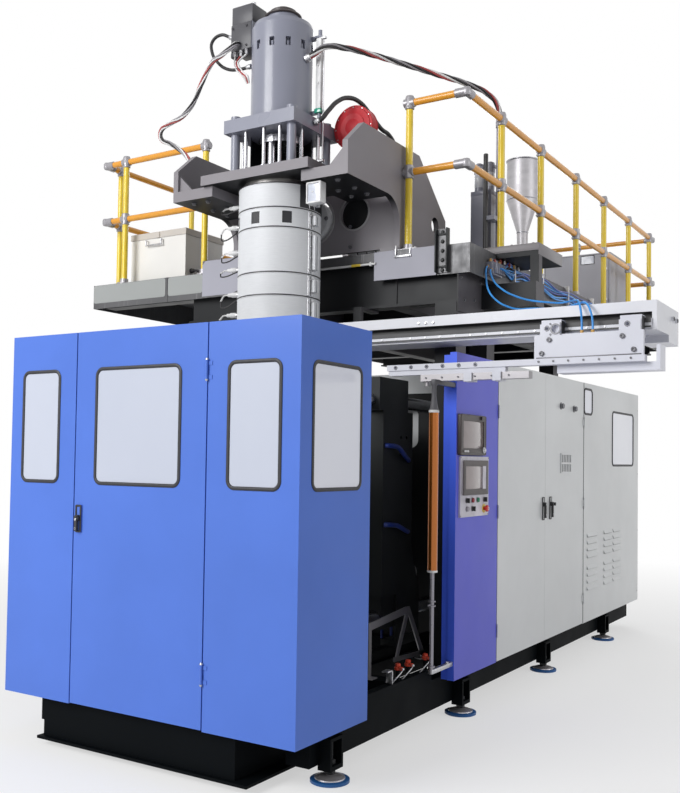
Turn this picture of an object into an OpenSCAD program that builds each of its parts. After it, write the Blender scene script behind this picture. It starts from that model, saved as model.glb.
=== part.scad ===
// Accumulator-head blow moulding machine, in millimetres, +Z up.
// A clamp with two platens stands behind a glazed front guard. The extruder runs along a
// platform above it and feeds the head, which hangs from two gooseneck arms over the mould.
// Machine axes: x = 0 is the operator side, y = 0 the front guard and z = 0 the floor.
// Everything left of the operator side has a negative x.

/* [Front guard] */
// Width of the front guard
guard_w = 1992; // [1960:1:2020]
// Depth of the front guard
guard_d = 653; // [640:1:680]
// Height of the guard, the cabinets and the control panel above the floor
guard_top = 2275; // [2250:1:2290]
// Depth of the folded edges of the guard panels
tray_d = 30; // [20:1:34]
// Thickness of the folded sheet
sheet_t = 3; // [2:0.5:4]
// Width of the fixed panel left of the door
left_panel_w = 515; // [480:1:540]
// Width of the fixed panel right of the door
right_panel_w = 551; // [530:1:580]
// Gap on each side of the front door
door_gap = 8; // [6:1:12]
// Height of the lower edge of the windows
window_bottom = 1455; // [1400:5:1500]
// Height of the upper edge of the windows
window_top = 2075; // [2000:5:2120]
// Corner radius of the windows
window_r = 45; // [20:1:60]
// Width of the rubber profile round a window
seal_w = 15; // [10:1:20]
// Thickness of a window pane
pane_t = 5; // [4:1:8]
// Side of the square tube inside the guard
guard_tube = 40; // [30:5:45]

/* [Base] */
// Height of the base top above the floor
base_top = 272; // [260:1:290]
// Depth of the side beams of the base
beam_h = 180; // [150:5:190]
// Width of the side beams of the base
beam_w = 140; // [120:5:160]
// Distance of the base from the operator side
base_inset = 120; // [110:1:130]
// Rear end of the base
base_rear = 6000; // [5900:10:6100]
// Diameter of a levelling foot
foot_d = 200; // [150:5:210]
// Height of a levelling foot
foot_h = 35; // [25:1:45]
// Diameter of a levelling stud
stud_d = 30; // [24:1:36]
// Height of the slide rails under the platens
rail_h = 73; // [60:1:80]
// Thickness of the skirt plates under the front guard
skirt_t = 12; // [8:1:20]
// Width of the flange along the right foot of the skirt
skirt_flange = 93; // [40:1:100]

/* [Clamp] */
// Distance of the clamp and head axis from the operator side
clamp_x = 1206; // [1190:1:1220]
// Distance of the parting plane from the front
parting_y = 1500; // [1490:1:1510]
// Opening between the platens
daylight = 748; // [700:1:760]
// Stroke of each platen
clamp_stroke = 160; // [100:5:160]
// Width of a platen
platen_w = 1200; // [1190:2:1220]
// Lower edge of a platen
platen_bottom = 700; // [680:5:720]
// Upper edge of a platen
platen_top = 1933; // [1900:1:1940]
// Depth of a platen
platen_d = 420; // [400:5:430]
// Thickness of the mould face of a platen
face_t = 90; // [70:5:110]
// Thickness of the cheeks and ribs of a platen
cheek_t = 16; // [12:1:18]
// Distance of the tie rods from the clamp axis
bar_half = 530; // [526:1:534]
// Height of the lower tie rods
lower_bar_z = 560; // [550:5:580]
// Height of the upper tie rods
upper_bar_z = 2000; // [1998:1:2003]
// Diameter of the lower tie rods
lower_bar_d = 105; // [90:1:105]
// Diameter of the upper tie rods
upper_bar_d = 90; // [80:1:92]
// Gap around each rod in its bore
bore_gap = 0.3; // [0.2:0.05:0.5]
// Thickness of the end plates
end_plate_t = 90; // [70:5:100]
// Diameter of the clamp cylinders
clamp_cyl_d = 220; // [180:5:240]
// Diameter of the clamp cylinder rods
clamp_rod_d = 110; // [80:5:120]

/* [Platform] */
// Height of the deck above the floor
deck_z = 2990; // [2985:1:3000]
// Left edge of the deck, from the operator side
deck_w = 3333; // [3300:1:3360]
// Front edge of the deck
deck_front = 1878; // [1878:1:1884]
// Rear edge of the deck
deck_rear = 6780; // [6760:5:6820]
// Depth of the deck fascia
fascia_h = 190; // [150:5:200]
// Thickness of the deck plate
deck_t = 8; // [6:1:10]
// Side of the square platform columns
column_w = 150; // [140:5:150]
// Wall of the platform columns
column_wall = 10; // [8:1:16]
// Depth of the platform beams
girder_h = 310; // [260:10:320]
// Diameter of the railing tube
rail_d = 48; // [40:1:50]
// Height of the top rail above the deck
top_rail = 996; // [950:5:1050]
// Height of the middle rail above the deck
mid_rail = 530; // [480:5:560]

/* [Head and extruder] */
// Thickness of the gooseneck arms
arm_t = 40; // [30:2:44]
// Distance of the arms' inner faces from the head axis
arm_half = 655; // [650:1:665]
// Height of the arms' top edge
arm_top = 3700; // [3680:5:3720]
// Thickness of the head plate
head_plate_t = 65; // [55:1:70]
// Radius of the head's heater bands
band_r = 274; // [265:1:280]
// Thickness of the heater bands
band_t = 29; // [20:1:32]
// Gap between two heater bands
band_gap = 6; // [4:1:10]
// Height of the lower end of the die
die_z = 2250; // [2240:1:2260]
// Radius of the shot cylinder
shot_r = 208; // [200:1:212]
// Height of the top of the shot cylinder
shot_top = 4505; // [4480:5:4540]
// Stroke of the shot piston
shot_stroke = 200; // [100:10:200]
// Diameter of the extruder barrel
barrel_d = 220; // [200:2:226]
// Height of the extruder axis
barrel_z = 3270; // [3265:1:3275]
// Diameter of the hopper loader
hopper_d = 337; // [300:1:360]
// Height of the top of the hopper
hopper_top = 4805; // [4700:5:4850]
// Wall of the hopper
hopper_wall = 3; // [2:0.5:5]

/* [Cabinets] */
// Rear end of the cabinets
cabinet_rear = 5950; // [5900:10:5990]
// Front edge of the electrical cabinet
cabinet_front = 2370; // [2366:1:2376]
// Width of each cabinet door
cabinet_door_w = 920; // [900:2:924]
// Depth of a cabinet door
cabinet_door_t = 25; // [20:1:28]
// Width of the operator's control panel
panel_w = 660; // [640:2:664]
// Front edge of the control panel
panel_front = 1700; // [1698:1:1702]
// Depth of the control panel
panel_t = 45; // [40:1:46]
// Diameter of a button's shank
button_d = 22; // [20:1:24]
// Gap around a button's shank
button_gap = 0.3; // [0.2:0.05:0.5]

/* [Take-out] */
// Left end of the take-out beam, from the operator side
beam_left = 813; // [790:1:820]
// Reach of the take-out beam past the operator side
beam_reach = 1215; // [1190:5:1240]
// Underside of the take-out beam
beam_z = 2330; // [2328:1:2334]
// Height of the take-out beam
beam_tall = 160; // [150:2:170]
// Depth of the take-out beam
beam_deep = 275; // [260:1:276]
// Length of the upper take-out bar
rack_l = 1547; // [1500:1:1560]
// Length of the sliding take-out bar
slider_l = 679; // [640:1:700]
// Overhang of the take-out carrier past the end of the beam
carrier_overhang = 35; // [20:1:50]

/* [Hidden] */
$fn = 48;

axis_x = -clamp_x;

// Base
base_right = -base_inset;
base_left = 2 * axis_x + base_inset;
front_base_left = -1732;
front_base_right = -390;
skirt_front = 60;
front_base_d = guard_d - 3;
bar_x = [axis_x + bar_half, axis_x - bar_half];
rail_top = base_top + rail_h;
foot_y = [445, 2000, 3524, 5093];
foot_offset = 30;
foot_x = base_right + foot_offset;
front_foot_x = axis_x - bar_half - 50 - foot_offset;
bracket_z = 66;

// Clamp
half_gap = daylight / 2;
platen_back = half_gap + platen_d;
end_plate_front = 100;
end_plate_rear = 2 * parting_y - end_plate_front;
ear_top = upper_bar_z + 153;
clamp_axis_z = (platen_bottom + platen_top) / 2;
barrel_len = 370;
rod_end = 330;
mould_hole_d = 26;
mould_hole_depth = 60;

// Guard
door_left = -guard_w + left_panel_w + door_gap;
door_right = -right_panel_w - door_gap;
hinge_x = -right_panel_w - door_gap / 2;
hinge_y = -8;
hinge_r = 7;
hinge_pin_r = 3;
hinge_zs = [547, 2037];
lever_x = -1430;
lever_z = 1270;

// Platform
front_col_y = [deck_front, deck_front + column_w];
col_right_x = -165;
girder_top = deck_z - 60;
girder_z = girder_top - girder_h;
rail_x = -60;
front_rail_y = deck_front + 60;
rear_rail_y = deck_rear - 60;
left_rail_x = -deck_w + 60;
slab_z = deck_z + 50;
front_rail_l = 1051;
post_setbacks = [126, 926, 1755, 2556, 3406];

// Extruder, set out from the rear of the deck
drive_y = deck_rear - 180;
hopper_y = drive_y - 680;
barrel_front = parting_y + 430;
zone_front = barrel_front + 130;
zone_pitch = 560;
zone_l = 420;

// Head
flange_top = 3403;
flange_t = 70;
head_top = flange_top + head_plate_t;
mount_z = 3740;
mount_t = 88;
shot_base = mount_z + mount_t;
piston_r = 150;
piston_rod_r = 45;
push_rod_r = 25;
push_rod_y = 110;
core_r = band_r - band_t;
band_edges = [2400, 2652, 2798, 3088, 3215, 3372];

// Cabinets
hood_left = 2 * axis_x;
hood_front = 2950;
fold_w = 25;
box_wall = 3;
cell_depth = 480;
door_1_rear = cabinet_front + cabinet_door_w;
door_2_rear = cabinet_front + 2 * cabinet_door_w;
panel_rear = panel_front + panel_w;

// Take-out
takeout_y = 1500;
beam_front = deck_front - 3 - beam_deep;
carriage_top = 2320;
carriage_bottom = 2185;
rack_right = 1180;

// The part's origin is the centre of its bounding box, on the floor
left_end = -deck_w;
right_end = beam_reach + carrier_overhang;
front_end = -28;
rear_end = deck_rear;
origin_x = (left_end + right_end) / 2;
origin_y = (front_end + rear_end) / 2;

// Routes of the free cables and hoses, in machine axes
cable_left_route = [[-1510, 1409, 4420], [-1514, 1380, 4408], [-1560, 1360, 4370],
    [-1610, 1350, 4340], [-1670, 1340, 4310], [-1735, 1345, 4245], [-1800, 1355, 4155],
    [-1890, 1370, 4045], [-1995, 1385, 3990], [-2110, 1390, 3965], [-2190, 1400, 3935],
    [-2195, 1405, 3880], [-2110, 1415, 3830], [-2000, 1430, 3750], [-1921, 1440, 3655]];
cable_right_route = [[-989, 1480, 4235], [-955, 1482, 4248], [-890, 1530, 4305],
    [-820, 1650, 4330], [-700, 1840, 4325], [-560, 2030, 4300], [-395, 2220, 4260],
    [-250, 2400, 4225], [-170, 2520, 4190], [-134, 2610, 4140], [-127, 2648, 4080],
    [-127, 2650, 4021]];
valve_hose_route = [[-1583, 1450, 4490], [-1620, 1448, 4505], [-1690, 1435, 4530],
    [-1745, 1415, 4490], [-1740, 1405, 4410], [-1680, 1400, 4320], [-1590, 1398, 4255],
    [-1490, 1400, 4235], [-1397, 1400, 4235]];
arm_hose_route = [[-918, 1470, 3790], [-880, 1478, 3805], [-845, 1515, 3870],
    [-825, 1590, 3950], [-800, 1680, 4000], [-770, 1770, 4000], [-740, 1875, 3940],
    [-715, 1980, 3870], [-715, 2090, 3860], [-725, 2195, 3820], [-745, 2290, 3730],
    [-755, 2370, 3600], [-760, 2420, 3430], [-760, 2430, 3210], [-760, 2430, 2993]];
hose_1_route = [[10, 2147, 2885], [10, 2118, 2868], [20, 2092, 2795], [50, 2065, 2705],
    [120, 2035, 2630], [210, 1985, 2580], [300, 1930, 2550], [425, 1865, 2535],
    [570, 1800, 2515], [680, 1730, 2506], [770, 1650, 2508], [830, 1590, 2500],
    [870, 1545, 2450], [892, 1518, 2385], [895, 1513, 2321]];
hose_2_route = [[36, 2147, 2860], [38, 2118, 2845], [70, 2095, 2775], [145, 2060, 2705],
    [255, 2005, 2645], [375, 1940, 2600], [500, 1880, 2570], [610, 1815, 2548],
    [690, 1740, 2540], [750, 1660, 2530], [790, 1592, 2510], [818, 1545, 2450],
    [832, 1518, 2385], [835, 1513, 2321]];

module in_frame() {
    translate([-origin_x, -origin_y, 0]) children();
}

// Box between two limits on each axis
module slab(x, y, z) {
    translate([x[0], y[0], z[0]]) cube([x[1] - x[0], y[1] - y[0], z[1] - z[0]]);
}

// Round rods along each axis
module rod_x(x, y, z, d) {
    translate([x[0], y, z]) rotate([0, 90, 0]) cylinder(d=d, h=x[1] - x[0]);
}

module rod_y(x, y, z, d) {
    translate([x, y[0], z]) rotate([-90, 0, 0]) cylinder(d=d, h=y[1] - y[0]);
}

module rod_z(x, y, z, d) {
    translate([x, y, z[0]]) cylinder(d=d, h=z[1] - z[0]);
}

// Plate of thickness t whose outline lies in the y-z plane
module side_plate(x, t) {
    translate([x, 0, 0]) rotate([90, 0, 90]) linear_extrude(t) children();
}

// Plate of thickness t whose outline lies in the x-z plane
module front_plate(y, t) {
    translate([0, y + t, 0]) rotate([90, 0, 0]) linear_extrude(t) children();
}

// Rounded rectangle from its lower left corner
module rounded_2d(w, h, r) {
    translate([r, 0]) square([w - 2 * r, h]);
    translate([0, r]) square([w, h - 2 * r]);
    for (x = [r, w - r], y = [r, h - r]) translate([x, y]) circle(r=r);
}

module window_2d(a, b, z0, z1, grow=0) {
    translate([a - grow, z0 - grow])
        rounded_2d(b - a + 2 * grow, z1 - z0 + 2 * grow, window_r + grow);
}

// Tube swept along a route of points
function unit(v) = v / norm(v);
function heading(p, i) = unit(p[min(i + 1, len(p) - 1)] - p[max(i - 1, 0)]);
function side_of(t) = unit(cross(t, abs(t[2]) > 0.9 ? [1, 0, 0] : [0, 0, 1]));
function carried(p, i) = i == 0 ? side_of(heading(p, 0))
    : let (s = carried(p, i - 1), t = heading(p, i)) unit(s - (s * t) * t);

module tube_along(p, d, sides) {
    points = [for (i = [0:len(p) - 1])
        let (t = heading(p, i), s = carried(p, i), u = cross(t, s))
        for (k = [0:sides - 1])
            p[i] + d / 2 * (cos(360 * k / sides) * s + sin(360 * k / sides) * u)];
    last = (len(p) - 1) * sides;
    faces = concat([[for (k = [0:sides - 1]) k]],
        [[for (k = [sides - 1:-1:0]) last + k]],
        [for (i = [0:len(p) - 2], k = [0:sides - 1])
            [i * sides + k, (i + 1) * sides + k,
             (i + 1) * sides + (k + 1) % sides, i * sides + (k + 1) % sides]]);
    polyhedron(points, faces);
}

// Base: side beams, cross members and the rails that carry the platens
module foot_bracket(x, y, side) {
    inner = x - side * (foot_offset + 5);
    outer = x + side * 40;
    span = [min(inner, outer), max(inner, outer)];
    difference() {
        union() {
            slab(span, [y - 60, y + 60], [bracket_z, bracket_z + 22]);
            for (dy = [-60, 44])
                slab(span, [y + dy, y + dy + 16], [bracket_z + 21, base_top - 60]);
            slab(span, [y - 60, y + 60], [base_top - 61, base_top - 45]);
        }
        rod_z(x, y, [bracket_z - 5, bracket_z + 40], stud_d + 2 * bore_gap);
    }
}

module base_frame() {
    beam_z = base_top - beam_h;
    color("#1b1c1f") in_frame() {
        difference() {
            union() {
                slab([base_right - beam_w, base_right], [300, base_rear], [beam_z, base_top]);
                slab([base_left, base_left + beam_w], [front_base_d, base_rear],
                    [beam_z, base_top]);
                for (x = [front_base_left, front_base_right - skirt_t])
                    slab([x, x + skirt_t], [skirt_front, front_base_d + 50],
                        [50, base_top]);
                for (y = [front_base_d, 1440, 2700, 3300, 4600, base_rear - 160])
                    slab([base_left + beam_w - 1, base_right - beam_w + 1], [y, y + 120],
                        [beam_z + 30, base_top]);
                for (x = bar_x)
                    slab([x - 50, x + 50], [end_plate_front - 10, end_plate_rear + 10],
                        [beam_z + 30, base_top]);
                slab([front_base_left, front_base_right],
                    [skirt_front, skirt_front + skirt_t], [50, base_top]);
                slab([front_base_left - 21, front_base_right + skirt_flange],
                    [skirt_front - 30, skirt_front + 140], [36, 51]);
                slab([front_base_right - 30, front_base_right + skirt_flange],
                    [skirt_front + 139, front_base_d - 60], [36, 51]);
                slab([front_base_left, base_right], [50, 330], [base_top - 12, base_top]);
                slab([front_base_left, base_right], [300, 420], [base_top - 90, base_top]);
                slab([base_right - 50, base_right], [660, 1640], [base_top, base_top + 68]);
            }
            for (y = [end_plate_front + 45, end_plate_rear - 45], x = bar_x)
                rod_z(x, y, [base_top - 80, base_top + 5], 36);
        }
        for (x = bar_x)
            slab([x - 30, x + 30], [end_plate_front + end_plate_t + 60,
                end_plate_rear - end_plate_t - 60], [base_top, rail_top]);
        for (y = [1253, 1378, 1602])
            rod_z(base_right - 25, y, [base_top + 68, base_top + 130], 24);
        for (y = foot_y) foot_bracket(foot_x, y, 1);
        foot_bracket(front_foot_x, foot_y[0], -1);
        for (i = [1:3]) foot_bracket(base_left - foot_offset, foot_y[i], -1);
    }
}

module levelling_foot(x, y) {
    translate([x, y, 0]) {
        cylinder(d=foot_d, h=foot_h * 0.55);
        translate([0, 0, foot_h * 0.55])
            cylinder(d1=foot_d, d2=foot_d * 0.55, h=foot_h * 0.45);
        translate([0, 0, foot_h - 1]) cylinder(d=stud_d, h=base_top - foot_h - 70);
        translate([0, 0, bracket_z - 24]) cylinder(d=stud_d * 1.8, h=24, $fn=6);
        translate([0, 0, bracket_z + 22]) cylinder(d=stud_d * 1.8, h=24, $fn=6);
    }
}

module levelling_feet() {
    color("#3d6fb0") in_frame() {
        for (y = foot_y) levelling_foot(foot_x, y);
        levelling_foot(front_foot_x, foot_y[0]);
        for (i = [1:3]) levelling_foot(base_left - foot_offset, foot_y[i]);
    }
}

// Clamp: rods, end plates, cylinders and the two platens
module tie_rods() {
    color("#c9ccd0") in_frame() for (x = bar_x, s = [[lower_bar_z, lower_bar_d],
            [upper_bar_z, upper_bar_d]]) {
        rod_y(x, [end_plate_front - 30, end_plate_rear + 30], s[0], s[1]);
        for (y = [end_plate_front - 40, end_plate_rear])
            translate([x, y, s[0]]) rotate([-90, 0, 0])
                cylinder(d=s[1] * 1.5, h=40, $fn=6);
    }
}

module end_plate(y) {
    half = platen_w / 2;
    top = upper_bar_z + 110;
    difference() {
        union() {
            front_plate(y, end_plate_t) difference() {
                translate([axis_x, 0]) polygon([[-half, base_top], [half, base_top],
                    [half, top - 80], [half - 80, top], [-half + 80, top],
                    [-half, top - 80]]);
                for (x = [axis_x - 380, axis_x + 140])
                    translate([x, 430]) rounded_2d(240, 400, 60);
                for (x = [axis_x - 380, axis_x + 140])
                    translate([x, 1700]) rounded_2d(240, 300, 60);
            }
        }
        for (x = bar_x) {
            rod_y(x, [y - 1, y + end_plate_t + 1], lower_bar_z, lower_bar_d);
            rod_y(x, [y - 1, y + end_plate_t + 1], upper_bar_z, upper_bar_d);
        }
    }
}

module end_plates() {
    color("#2a2c30") in_frame() {
        end_plate(end_plate_front);
        end_plate(end_plate_rear - end_plate_t);
    }
}

// Front cylinder; the rear one is its mirror image about the parting plane
module clamp_cylinder() {
    y0 = end_plate_front + end_plate_t;
    difference() {
        union() {
            rod_y(axis_x, [y0, y0 + 30], clamp_axis_z, clamp_cyl_d + 90);
            rod_y(axis_x, [y0 + 30, y0 + barrel_len], clamp_axis_z, clamp_cyl_d);
            rod_y(axis_x, [y0 + barrel_len - 45, y0 + barrel_len], clamp_axis_z,
                clamp_cyl_d + 30);
        }
        rod_y(axis_x, [y0 + 20, y0 + barrel_len + 1], clamp_axis_z,
            clamp_rod_d + 2 * bore_gap);
    }
}

module mirrored_y() {
    translate([0, 2 * parting_y, 0]) mirror([0, 1, 0]) children();
}

module clamp_cylinders() {
    color("#3a3d42") in_frame() {
        clamp_cylinder();
        mirrored_y() clamp_cylinder();
    }
}

// Outline of a platen's cheek, measured back from the parting plane
module cheek_2d() {
    difference() {
        union() {
            polygon([[half_gap, platen_bottom], [half_gap, platen_top],
                [platen_back, platen_top], [platen_back, 1000],
                [platen_back + 123, platen_bottom], [platen_back + 123, rail_top + 40],
                [platen_back - 209, rail_top + 40], [platen_back - 209, platen_bottom]]);
        }
        polygon([[platen_back - 150, 410], [platen_back + 80, 410],
            [platen_back + 10, 530]]);
    }
}

// Platen behind the parting plane: mould face, cheeks, ribs, ears, guides and shoes
module platen() {
    half = platen_w / 2;
    face_y = parting_y + half_gap;
    back_y = parting_y + platen_back;
    ear_y = [face_y - 54, face_y + 346];
    hub_r = clamp_rod_d / 2 + 60;
    ribs = [-half / 3, half / 3];
    difference() {
        union() {
            slab([axis_x - half, axis_x + half], [face_y, face_y + face_t],
                [platen_bottom, platen_top]);
            for (x = [axis_x - half, axis_x + half - cheek_t])
                side_plate(x, cheek_t) translate([parting_y, 0]) cheek_2d();
            for (x = ribs)
                slab([axis_x + x - 20, axis_x + x + 20], [face_y + face_t, back_y],
                    [platen_bottom, platen_top]);
            for (z = [platen_bottom, clamp_axis_z - 20, platen_top - 40])
                slab([axis_x - half, axis_x + half], [face_y + face_t, back_y - 40],
                    [z, z + 40]);
            slab([axis_x - half, axis_x + half], [back_y - 40, back_y],
                [clamp_axis_z - 220, clamp_axis_z + 220]);
            rod_y(axis_x, [face_y + face_t, back_y + 20], clamp_axis_z, 2 * hub_r);
            for (s = [-1, 1]) {
                x0 = axis_x + s * half;
                xs = s > 0 ? [x0 - 150, x0] : [x0, x0 + 150];
                slab(xs, ear_y, [platen_top, ear_top]);
                shoe = s > 0 ? [x0 - 120, x0] : [x0, x0 + 120];
                slab(shoe, [back_y - 209, back_y + 123],
                    [rail_top + bore_gap, rail_top + 40]);
                guide = s > 0 ? [x0 - 134, x0 - cheek_t] : [x0 + cheek_t, x0 + 134];
                slab(guide, [face_y + 20, back_y - 60],
                    [lower_bar_z - 75, platen_bottom]);
            }
            rod_y(axis_x, [back_y, 2 * parting_y - rod_end], clamp_axis_z, clamp_rod_d);
        }
        for (x = bar_x) {
            rod_y(x, [ear_y[0] - 1, ear_y[1] + 1], upper_bar_z,
                upper_bar_d + 2 * bore_gap);
            rod_y(x, [face_y, back_y], lower_bar_z, lower_bar_d + 2 * bore_gap);
        }
        for (x = [-400, -200, 200, 400], z = [900, 1100, 1530, 1730])
            rod_y(axis_x + x, [face_y - 1, face_y + mould_hole_depth], z, mould_hole_d);
        for (z = [1640, 1760], y = [face_y + 250, face_y + 330], s = [-1, 1])
            rod_x([axis_x + s * half - 30, axis_x + s * half + 30], y, z, 24);
    }
}

module rear_platen() {
    color("#34373c") in_frame() platen();
}

module front_platen() {
    color("#34373c") in_frame() mirrored_y() platen();
}

// Platform: columns, girders, deck and railing
module column(x, y, z0) {
    half = column_w / 2;
    difference() {
        slab([x - half, x + half], [y, y + column_w], [z0 + 20, girder_z]);
        slab([x - half + column_wall, x + half - column_wall],
            [y + column_wall, y + column_w - column_wall], [z0 + 21, girder_z + 1]);
    }
    slab([x - half - 15, x + half], [y - 15, y + column_w + 15], [z0, z0 + 20]);
}

// I-section girder along y or along x
module girder_y(x, y, z) {
    slab([x - 60, x + 60], y, [z[0], z[0] + 16]);
    slab([x - 60, x + 60], y, [z[1] - 16, z[1]]);
    slab([x - 7, x + 7], y, z);
}

module girder_x(x, y, z) {
    slab(x, [y - 60, y + 60], [z[0], z[0] + 16]);
    slab(x, [y - 60, y + 60], [z[1] - 16, z[1]]);
    slab(x, [y - 7, y + 7], z);
}

module outrigger() {
    slab([-330, 300], [2300, 2760], [deck_z, slab_z]);
    slab([1, 300], [2300, 2760], [deck_z - 30, deck_z]);
    slab([240, 300], [2300, 2360], [girder_z + 160, deck_z - 30]);
    slab([-300, 300], [2250, 2400], [girder_z, girder_z + 160]);
}

module platform_frame() {
    left_x = 2 * axis_x - col_right_x;
    mid_y = front_col_y[0] + column_w / 2;
    color("#232427") in_frame() {
        column(col_right_x, front_col_y[0], base_top);
        mirror([1, 0, 0]) column(-left_x, front_col_y[0], base_top);
        for (x = [-560, 2 * axis_x + 560]) {
            column(x, 3300, base_top);
            girder_y(x, [front_col_y[0] + 60, deck_rear - 80], [girder_z, girder_top]);
        }
        for (x = [-856, 2 * axis_x + 856]) column(x, 5700, base_top);
        girder_x([left_x - 75, col_right_x + 75], mid_y, [girder_z, girder_top]);
        for (y = [3375, 5775, deck_rear - 140])
            girder_x([-deck_w + 60, -60], y, [girder_top - 180, girder_top]);
        girder_x([-deck_w + 60, left_x], mid_y + 60, [girder_top - 120, girder_top]);
        girder_x([2 * axis_x + 560, 2 * axis_x + 900], 5775, [girder_z, girder_top]);
        girder_x([-900, -560], 5775, [girder_z, girder_top]);
        for (x = [col_right_x - 60, col_right_x + 50])
            slab([x, x + 10], [deck_front + 6, deck_front + 150],
                [girder_top - 20, deck_z - deck_t]);
        slab([-800, -740], [1790, deck_front + 150], [girder_z - 16, girder_z]);
        slab([-800, -740], [1790, 1820], [beam_z + beam_tall, girder_z - 16]);
        side_plate(col_right_x + 75, 10) polygon([[deck_front + 6, girder_z - 60],
            [deck_front + 6, deck_z - deck_t], [2050, deck_z - deck_t], [2350, 2800],
            [2350, girder_z + 10], [2110, girder_z - 60]]);
        outrigger();
    }
}

module fascia(x, y, z0) {
    slab(x, y, [z0, deck_z]);
}

module platform_deck() {
    low = deck_z - fascia_h;
    color("#5f6660") in_frame() {
        difference() {
            slab([-deck_w, 0], [deck_front, deck_rear], [deck_z - deck_t, deck_z]);
            rod_z(-760, 2430, [deck_z - 50, deck_z + 5], 60);
        }
        fascia([-deck_w, -2160], [deck_front, deck_front + 6], low);
        fascia([-1740, -670], [deck_front, deck_front + 6], deck_z - 60);
        fascia([-690, 0], [deck_front, deck_front + 6], low);
        fascia([-6, 0], [deck_front, deck_rear], low);
        fascia([-deck_w, -deck_w + 6], [deck_front, deck_rear], low);
        fascia([-deck_w, 0], [deck_rear - 6, deck_rear], low);
        slab([-690, -230], [deck_front - 8, deck_front], [low, deck_z]);
        front_plate(deck_front - 8, 8) polygon([[-2180, low], [-1900, low],
            [-1720, low + 60], [-1720, deck_z], [-1790, deck_z + 90], [-2180, deck_z + 90]]);
        slab([-230, -140], [deck_front - 12, deck_front], [deck_z - 180, deck_z + 103]);
        slab([-2552, -2532], [deck_front - 3, deck_front], [low, deck_z]);
    }
}

// Railing: tube posts and rails in cast fittings, each post on a round flange
module rail_post(x, y, z0, flange=2.4) {
    z1 = deck_z + top_rail;
    rod_z(x, y, [z0, z1], rail_d);
    rod_z(x, y, [z0, z0 + 8], rail_d * flange);
    rod_z(x, y, [z0 + 8, z0 + 45], rail_d * 1.35);
    rod_z(x, y, [deck_z + mid_rail - 42, deck_z + mid_rail + 42], rail_d * 1.3);
    rod_z(x, y, [z1 - 60, z1], rail_d * 1.3);
}

module rail_elbow(x, y, z) {
    translate([x, y, z]) sphere(d=rail_d * 1.3, $fn=24);
}

module railing() {
    levels = [deck_z + mid_rail, deck_z + top_rail];
    left_end_x = left_rail_x + front_rail_l;
    color("#e2b21b") in_frame() {
        rail_post(-472, front_rail_y, deck_z, 1.4);
        rail_post(rail_x, 2527, slab_z);
        for (back = post_setbacks) rail_post(rail_x, rear_rail_y - back, deck_z);
        for (i = [0:5])
            rail_post(left_rail_x, front_rail_y + 162 + i * (rear_rail_y - front_rail_y - 282) / 5,
                deck_z);
        for (x = [left_end_x - 833, left_end_x]) rail_post(x, front_rail_y, deck_z);
        for (i = [1:3]) rail_post(left_rail_x + i * (rail_x - left_rail_x) / 4, rear_rail_y, deck_z);
        for (z = levels) {
            rod_x([-472, rail_x], front_rail_y, z, rail_d);
            rod_y(rail_x, [front_rail_y, rear_rail_y], z, rail_d);
            rod_x([left_rail_x, rail_x], rear_rail_y, z, rail_d);
            rod_y(left_rail_x, [front_rail_y, rear_rail_y], z, rail_d);
            rod_x([left_rail_x, left_end_x], front_rail_y, z, rail_d);
            for (x = [left_rail_x, rail_x], y = [front_rail_y, rear_rail_y])
                rail_elbow(x, y, z);
        }
    }
}

// Guard: folded sheet panels on a frame of square tube, with glazed openings
module tray_front(x, z) {
    slab([x[0], x[1]], [0, sheet_t], z);
    for (a = [z[0], z[1] - sheet_t]) slab(x, [0, tray_d], [a, a + sheet_t]);
    for (a = [x[0], x[1] - sheet_t]) slab([a, a + sheet_t], [0, tray_d], z);
}

module front_window(a, b, grow=0) {
    front_plate(-1, tray_d + 2) window_2d(a, b, window_bottom, window_top, grow);
}

module side_window(x, t, grow=0) {
    side_plate(x, t) window_2d(103, 557, window_bottom, window_top, grow);
}

module hinge_knuckle(z) {
    difference() {
        union() {
            rod_z(hinge_x, hinge_y, z, 2 * hinge_r);
            children();
        }
        rod_z(hinge_x, hinge_y, [z[0] - 1, z[1] + 1], 2 * hinge_pin_r + 0.3);
    }
}

module guard_frame() {
    t = guard_tube;
    y1 = guard_d - 30;
    color("#26282b") in_frame() {
        for (z = [base_top, guard_top - sheet_t - t]) {
            slab([-guard_w + 30, -30], [tray_d, tray_d + t], [z, z + t]);
            for (x = [-guard_w + 30, -30 - t])
                slab([x, x + t], [tray_d + t, y1], [z, z + t]);
        }
        for (x = [-guard_w + 30, door_left - door_gap - t, -right_panel_w, -30 - t])
            slab([x, x + t], [tray_d, tray_d + t], [base_top + t, guard_top - t]);
        for (x = [-guard_w + 30, -30 - t])
            slab([x, x + t], [y1 - t, y1], [base_top + t, guard_top - t]);
        slab([base_right, -30 - t], [y1 - t, y1], [base_top, base_top + t]);
        slab([-guard_w + 30 + t, axis_x - bar_half - 32], [y1 - t, y1],
            [base_top, base_top + t]);
    }
}

module guard_left_panel() {
    x1 = -guard_w + left_panel_w;
    color("#5b82e0") in_frame() difference() {
        union() {
            tray_front([-guard_w, x1], [base_top, guard_top]);
            slab([-guard_w, -guard_w + sheet_t], [0, guard_d], [base_top, guard_top]);
            slab([-guard_w, -guard_w + 30], [guard_d - sheet_t, guard_d],
                [base_top, guard_top]);
        }
        front_window(-1900, -1600);
        side_window(-guard_w - 1, sheet_t + 2);
    }
}

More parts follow.
